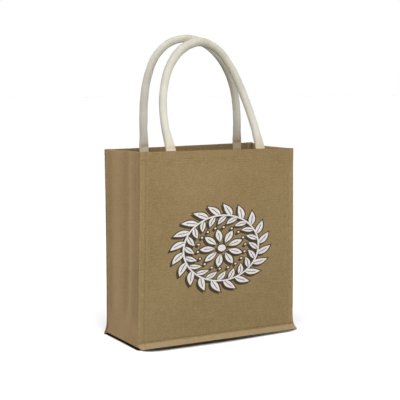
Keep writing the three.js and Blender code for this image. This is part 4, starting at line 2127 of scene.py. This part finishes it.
class StitchRule:
    """Geometry Nodes rule that lays one row of stitches along a line."""

    INPUTS = (
        ("Pitch", "NodeSocketFloat", 0.0046),
        ("Stitch Length", "NodeSocketFloat", 0.0037),
        ("Thread Radius", "NodeSocketFloat", 0.00042),
        ("Rise", "NodeSocketFloat", 0.00055),
        ("Outward", "NodeSocketVector", (0.0, -1.0, 0.0)),
        ("Seed", "NodeSocketInt", 3),
        ("Thread", "NodeSocketMaterial", None),
    )
    DIP = -0.9
    BEND_POINTS = 5
    THREAD_SIDES = 6
    SKEW = (0.03, 0.03, 0.07)

    def __init__(self) -> None:
        """Builds the node group with its named inputs."""
        self.kit = TreeKit(bpy.data.node_groups.new("stitch_row", "GeometryNodeTree"))
        face = self.kit.tree.interface
        face.new_socket(name="Geometry", in_out="INPUT", socket_type="NodeSocketGeometry")
        self.names: dict[str, str] = {}
        for name, kind, default in self.INPUTS:
            socket = face.new_socket(name=name, in_out="INPUT", socket_type=kind)
            if default is not None:
                socket.default_value = default
            self.names[name] = socket.identifier
        face.new_socket(name="Geometry", in_out="OUTPUT", socket_type="NodeSocketGeometry")
        self.given = self.kit.node("NodeGroupInput").outputs
        self._wire()

    def _times(self, socket: NodeSocket, factor: float) -> Node:
        """Adds a node that multiplies a socket by a number."""
        return self.kit.node("ShaderNodeMath", {"operation": "MULTIPLY"}, {0: socket, 1: factor})

    def _stitch(self) -> Node:
        """Adds the nodes of one stitch, a thread bent over the cloth along X.

        Returns:
            The node that makes the thread.
        """
        node, given = self.kit.node, self.given
        dip = self._times(given["Rise"], self.DIP)
        start, end = (
            node("ShaderNodeCombineXYZ", None, {0: self._times(given["Stitch Length"], half), 2: dip})
            for half in (-0.5, 0.5)
        )
        crown = node("ShaderNodeCombineXYZ", None, {2: given["Rise"]})
        bow = node(
            "GeometryNodeCurveQuadraticBezier",
            None,
            {"Resolution": self.BEND_POINTS, "Start": start, "Middle": crown, "End": end},
        )
        ring = node(
            "GeometryNodeCurvePrimitiveCircle",
            {"mode": "RADIUS"},
            {"Resolution": self.THREAD_SIDES, "Radius": given["Thread Radius"]},
        )
        sockets = {"Curve": bow, "Profile Curve": ring, "Fill Caps": True}
        return node("GeometryNodeCurveToMesh", None, sockets)

    def _lie(self) -> Node:
        """Adds the nodes that turn a stitch along the line and out of the cloth.

        Returns:
            The node that gives the rotation, with a small random skew.
        """
        node, given = self.kit.node, self.given
        tangent = node("GeometryNodeInputTangent")
        way = node("FunctionNodeAlignRotationToVector", {"axis": "X"}, {"Vector": tangent})
        face = node(
            "FunctionNodeAlignRotationToVector",
            {"axis": "Z", "pivot_axis": "X"},
            {"Rotation": way, "Vector": given["Outward"]},
        )
        least = tuple(-part for part in self.SKEW)
        skew = node(
            "FunctionNodeRandomValue",
            {"data_type": "FLOAT_VECTOR"},
            {0: least, 1: self.SKEW, "Seed": given["Seed"]},
        )
        return node(
            "FunctionNodeRotateRotation",
            {"rotation_space": "LOCAL"},
            {"Rotation": face, "Rotate By": skew},
        )

    def _wire(self) -> None:
        """Lays a stitch on each point of the evenly divided line."""
        node, given = self.kit.node, self.given
        line = node("GeometryNodeMeshToCurve", None, {"Mesh": given["Geometry"]})
        even = node(
            "GeometryNodeResampleCurve",
            {"mode": "LENGTH"},
            {"Curve": line, "Length": given["Pitch"]},
        )
        laid = node(
            "GeometryNodeInstanceOnPoints",
            None,
            {"Points": even, "Instance": self._stitch(), "Rotation": self._lie()},
        )
        real = node("GeometryNodeRealizeInstances", None, {0: laid})
        smooth = node("GeometryNodeSetShadeSmooth", None, {0: real})
        sockets = {"Geometry": smooth, "Material": given["Thread"]}
        dressed = node("GeometryNodeSetMaterial", None, sockets)
        node("NodeGroupOutput", None, {0: dressed})

    def sew(
        self, row: SeamRow, thread: Material, sizes: Mapping[str, float]
    ) -> Mesh:
        """Lays one row of stitches and returns it as a plain mesh.

        Args:
            row: Row of stitches.
            thread: Material of the thread.
            sizes: Inputs of the rule that differ from its own.

        Returns:
            The mesh of the row.
        """
        mesh = bpy.data.meshes.new("seam_line")
        pairs = [(k, k + 1) for k in range(len(row.points) - 1)]
        mesh.from_pydata([tuple(c * MM for c in point) for point in row.points], pairs, [])
        line = place_object("seam_line", mesh)
        rule = line.modifiers.new("stitches", "NODES")
        rule.node_group = self.kit.tree
        values = {"Outward": row.outward, "Thread": thread, "Seed": row.seed, **sizes}
        for name, value in values.items():
            rule[self.names[name]] = value
        bpy.context.view_layer.update()
        graph = bpy.context.evaluated_depsgraph_get()
        made = bpy.data.meshes.new_from_object(line.evaluated_get(graph))
        bpy.data.objects.remove(line)
        return made


@dataclass(frozen=True)
class Stitching:
    """All rows of stitches on the bag, sewn piece by piece."""

    FINE: ClassVar[dict[str, float]] = {
        "Pitch": 0.0031,
        "Stitch Length": 0.0025,
        "Thread Radius": 0.0003,
        "Rise": 0.0004,
    }
    TAPE_SEEDS: ClassVar[tuple[int, ...]] = (30, 31, 32, 33, 34, 38)
    FOOT_SEED: ClassVar[int] = 9
    SIDE_SEED: ClassVar[int] = 5
    HEM_SEED: ClassVar[int] = 12

    form: BagForm
    lift: float = 0.12
    foot_gap: float = 13.5
    top_gap: float = 4.0
    point_step: float = 4.0
    tape_aside: float = 2.6
    tape_low: float = 4.0
    tape_high: float = 13.0
    tape_step: float = 0.12

    def _panel_row(
        self, facing: Facing, places: Iterable[tuple[float, float]], seed: int
    ) -> SeamRow:
        """Row of stitches on the outside of a panel.

        Args:
            facing: Which panel.
            places: Place across and height of each point.
            seed: Seed of the row.

        Returns:
            The row.
        """
        off = facing.value * (self.form.half_cloth + self.lift)
        points = tuple((x, self.form.panel_y(facing, x, up) + off, up) for x, up in places)
        return SeamRow(points, (0.0, float(facing.value), 0.0), seed)

    def _panel_rows(self, facing: Facing) -> list[SeamRow]:
        """Rows on the outside of one panel.

        Args:
            facing: Which panel.

        Returns:
            The rows of both sides, the bottom and the hem.
        """
        form, step = self.form, self.point_step
        rows = []
        for side in Side:
            inward = -side.value * form.seam_line
            levels = graded(self.foot_gap, [(form.height - self.top_gap, step)])
            places = [(form.edge(facing, side, up) + inward, up) for up in levels]
            rows.append(self._panel_row(facing, places, self.SIDE_SEED + side.value))
        left, right = form.edges(facing, FOOT_SEAM, form.seam_line)
        places = [(x, FOOT_SEAM) for x in graded(left, [(right, step)])]
        rows.append(self._panel_row(facing, places, self.FOOT_SEED))
        left, right = form.edges(facing, form.height, form.hem_clearance)
        for number, below in enumerate(form.hem_rows):
            across = graded(left, [(right, step)])
            places = [(x, form.rim_height(facing, x) - below) for x in across]
            rows.append(self._panel_row(facing, places, self.HEM_SEED + number))
        return rows

    def _tape_point(self, facing: Facing, across: float, x: float, up: float) -> Place:
        """Point on the inside of a tape end, x and up from the tape at across."""
        form = self.form
        y = form.handle_y(facing, across, up)
        y += form.panel_y(facing, x, up) - form.panel_y(facing, across, up)
        return x, y - facing.value * (form.tape_half_thickness + self.lift), up

    def _tape_rows(self, facing: Facing) -> list[SeamRow]:
        """Crossed boxes that hold a handle's tape ends, on the inside.

        Args:
            facing: Which handle.

        Returns:
            The rows of both ends.
        """
        form = self.form
        outward = (0.0, -float(facing.value), 0.0)
        aside = form.tape_half_width - self.tape_aside
        rows = []
        for number, end in enumerate((ARCHES[facing][0], ARCHES[facing][-1])):
            rim = form.rim_height(facing, end.across)
            low, high = rim - form.tape_drop + self.tape_low, rim - self.tape_high
            box = [(-aside, low), (aside, low), (aside, high), (-aside, high), (-aside, low)]
            lines = [*zip(box, box[1:]), (box[3], box[1]), (box[0], box[2])]
            for (start, stop), seed in zip(lines, self.TAPE_SEEDS):
                points = []
                for t in graded(0, [(1, self.tape_step)]):
                    x = end.across + mix(start[0], stop[0], t)
                    up = mix(start[1], stop[1], t)
                    points.append(self._tape_point(facing, end.across, x, up))
                rows.append(SeamRow(tuple(points), outward, seed + number * 9))
        return rows

    def sew_all(
        self, rule: StitchRule, jute: Material, cotton: Material
    ) -> list[Object]:
        """Sews every row and joins the rows of each piece.

        Args:
            rule: Rule that lays one row.
            jute: Thread on the cloth.
            cotton: Thread on the handles' tape.

        Returns:
            The pieces of stitching.
        """
        made = []
        for facing in Facing:
            name = facing.name.lower()
            panel = [rule.sew(row, jute, {}) for row in self._panel_rows(facing)]
            made.append(self._join(f"{name}_panel_stitches", panel, jute, "panel_jute"))
            tape = [rule.sew(row, cotton, self.FINE) for row in self._tape_rows(facing)]
            made.append(self._join(f"{name}_handle_stitches", tape, cotton, "handle_cotton"))
        return made

    @staticmethod
    def _join(
        name: str, meshes: Sequence[Mesh], thread: Material, slot: str
    ) -> Object:
        """Joins the meshes of several rows into one dressed piece.

        Args:
            name: Name of the piece.
            meshes: Mesh of each row.
            thread: Material of the thread.
            slot: Not used.

        Returns:
            The new piece.
        """
        vertices: list[Place] = []
        faces: list[tuple[int, ...]] = []
        for mesh in meshes:
            first = len(vertices)
            vertices.extend(tuple(v.co) for v in mesh.vertices)
            faces.extend(tuple(first + n for n in face.vertices) for face in mesh.polygons)
            bpy.data.meshes.remove(mesh)
        piece = make_object(name, np.array(vertices), faces, np.zeros((len(vertices), 2)))
        dress(piece, thread)
        return piece


# Studio


def link_light(light: Object, pieces: Iterable[Object], state: str) -> None:
    """Keeps a light on some pieces only, or off them.

    Args:
        light: The light.
        pieces: The pieces.
        state: INCLUDE for these pieces only, or EXCLUDE for all others.
    """
    group = bpy.data.collections.new(f"{light.name}_{state.lower()}")
    for piece in pieces:
        group.objects.link(piece)
    for entry in group.collection_objects:
        entry.light_linking.link_state = state
    light.light_linking.receiver_collection = group


@dataclass(frozen=True)
class SoftBox:
    """One soft light.

    Attributes:
        place, aim: Where it stands and the point that it faces, in metres.
        size, power: Side of its square in metres and its power in watts.
        flagged: Names of the pieces that it is flagged off.
    """

    name: str
    place: Place
    aim: Place
    size: float
    power: float
    flagged: tuple[str, ...] = ()

    def build(self) -> None:
        """Makes the light."""
        lamp = bpy.data.lights.new(self.name, "AREA")
        lamp.shape = "SQUARE"
        lamp.size = self.size
        lamp.energy = self.power
        made = place_object(self.name, lamp)
        made.location = self.place
        made.visible_camera = False
        way = Vector(self.aim) - Vector(self.place)
        made.rotation_euler = way.to_track_quat("-Z", "Y").to_euler()
        if self.flagged:
            link_light(made, [bpy.data.objects[name] for name in self.flagged], "EXCLUDE")


HANDLES = ("front_handle_cloth", "back_handle_cloth")


@dataclass(frozen=True)
class Studio:
    """Pale floor, soft lights and the camera."""

    lens: float = 97.263
    sensor: float = 36.0
    azimuth: float = -29.42
    elevation: float = 6.18
    roll: float = -0.29
    distance: float = 2.1519
    target: Place = (-0.00037, 0.0, 0.26603)
    camera_reach: float = 200.0
    floor_reach: float = 40.0
    floor_level: float = -0.0002
    floor_glow: float = 2.6
    floor_slant: float = 30.0
    floor_turn: float = -20.0
    floor_softness: float = 64.0
    backdrop_gap: float = 2.0
    backdrop_parts: tuple[int, int] = (48, 24)
    sky_top: float = 0.46
    sky_side: float = 0.45
    sky_low: float = 0.27
    lights: tuple[SoftBox, ...] = (
        SoftBox("key_light", (-0.16, -1.55, 0.78), (0.0, 0.0, 0.12), 0.9, 16.1),
        SoftBox("fill_light", (-2.4, 0.15, 0.8), (0.0, 0.0, 0.2), 1.6, 22.0, HANDLES),
        SoftBox("top_light", (-0.45, 0.20, 1.45), (0.0, 0.0, 0.5), 0.6, 3.4),
    )

    def build(self) -> None:
        """Makes the floor, backdrop, lights, sky and camera."""
        self._floor()
        self._backdrop()
        self._sky()
        for light in self.lights:
            light.build()
        self._camera()
        bpy.context.scene.view_settings.view_transform = "Standard"

    def _floor(self) -> None:
        """Makes the floor, which shows and takes shadows but doesn't light the bag."""
        reach, level = self.floor_reach, self.floor_level
        corners = [(-reach, -reach), (reach, -reach), (reach, reach), (-reach, reach)]
        vertices = np.array([(x, y, level) for x, y in corners])
        floor = make_object("studio_floor", vertices, [(0, 1, 2, 3)], vertices[:, :2])
        floor.data.materials.append(FloorFinish().build())
        floor.visible_diffuse = False
        lamp = bpy.data.lights.new("floor_light", "SUN")
        lamp.energy = self.floor_glow
        lamp.angle = radians(self.floor_softness)
        glow = place_object("floor_light", lamp)
        glow.rotation_euler = (radians(self.floor_slant), 0.0, radians(self.floor_turn))
        link_light(glow, [floor], "INCLUDE")

    def _backdrop(self) -> None:
        """Makes the white surround that only the camera sees."""
        kit = NodeKit("studio_backdrop")
        glow = kit.node("ShaderNodeEmission", None, {"Color": (1, 1, 1, 1), "Strength": 1.0})
        kit.node("ShaderNodeOutputMaterial", None, {"Surface": glow})
        segments, rings = self.backdrop_parts
        bpy.ops.mesh.primitive_uv_sphere_add(
            segments=segments, ring_count=rings, radius=self.floor_reach - self.backdrop_gap
        )
        dome = bpy.context.active_object
        dome.name = "studio_backdrop"
        dome.data.materials.append(kit.material)
        dome.visible_diffuse = False
        dome.visible_glossy = False
        dome.visible_transmission = False
        dome.visible_shadow = False

    def _sky(self) -> None:
        """Makes a soft surround light that is brighter from above."""
        world = bpy.data.worlds.new("studio_sky")
        world.use_nodes = True
        bpy.context.scene.world = world
        kit = TreeKit(world.node_tree)
        kit.tree.nodes.clear()
        place = kit.node("ShaderNodeTexCoord").outputs["Generated"]
        up = kit.node("ShaderNodeSeparateXYZ", None, {0: place}).outputs[2]
        high = kit.node("ShaderNodeMapRange", None, {"Value": up, "From Min": -1.0})
        levels = ((0.0, self.sky_low), (0.5, self.sky_side), (1.0, self.sky_top))
        stops = [(share, (level, level, level, 1.0)) for share, level in levels]
        shade = kit.node("ShaderNodeValToRGB", {"stops": stops}, {0: high})
        sky = kit.node("ShaderNodeBackground", None, {"Color": shade})
        kit.node("ShaderNodeOutputWorld", None, {0: sky})

    def _camera(self) -> None:
        """Makes the camera at the photograph's viewing angle."""
        a, e = radians(self.azimuth), radians(self.elevation)
        back = Vector((sin(a) * cos(e), -cos(a) * cos(e), sin(e)))
        right = (-back).cross(Vector((0, 0, 1))).normalized()
        up = right.cross(-back)
        turn = radians(self.roll)
        side = cos(turn) * right + sin(turn) * up
        top = cos(turn) * up - sin(turn) * right
        matrix = Matrix((side, top, back)).transposed().to_4x4()
        matrix.translation = Vector(self.target) + back * self.distance
        camera = bpy.data.cameras.new("photo_view")
        camera.lens = self.lens
        camera.sensor_width = self.sensor
        camera.clip_end = self.camera_reach
        made = place_object("photo_view", camera)
        made.matrix_world = matrix
        bpy.context.scene.camera = made


def main() -> None:
    """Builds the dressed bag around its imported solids, then the studio."""
    logging.basicConfig(level=logging.INFO, format="%(name)s: %(message)s")
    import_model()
    form = BagForm()
    jute = {"light": srgb(187, 162, 122), "middle": srgb(158, 135, 94), "dark": srgb(124, 102, 67)}
    front_jute = JuteFinish("front_panel_jute", picture=WreathPrint(), **jute).build()
    back_jute = JuteFinish("back_panel_jute", **jute).build()
    strip_jute = JuteFinish(
        "strip_jute",
        light=srgb(194, 166, 123),
        middle=srgb(167, 141, 103),
        dark=srgb(132, 109, 77),
        grain=0.6,
    ).build()
    cotton = CottonFinish(
        "handle_cotton",
        light=srgb(234, 230, 216),
        dark=srgb(194, 188, 170),
        warm=srgb(255, 243, 233),
        painted_shade_colour=srgb(205, 203, 192),
    ).build()
    jute_thread = ThreadFinish("jute_thread", srgb(186, 160, 118), srgb(140, 116, 82)).build()
    cotton_thread = ThreadFinish("cotton_thread", srgb(238, 234, 224), srgb(200, 194, 180)).build()
    pieces: list[tuple[str, Callable[[], object]]] = [
        ("front panel", lambda: Panel(form, Facing.FRONT).build(front_jute)),
        ("back panel", lambda: Panel(form, Facing.BACK).build(back_jute)),
        ("side and base strip", lambda: Strip(form).build(strip_jute)),
        ("front handle", lambda: Handle(form, Facing.FRONT).build(cotton)),
        ("back handle", lambda: Handle(form, Facing.BACK).build(cotton)),
        ("stitching", lambda: Stitching(form).sew_all(StitchRule(), jute_thread, cotton_thread)),
        ("studio", Studio().build),
    ]
    for name, build in pieces:
        build()
        LOG.info("made %s", name)


if __name__ == "__main__":
    main()
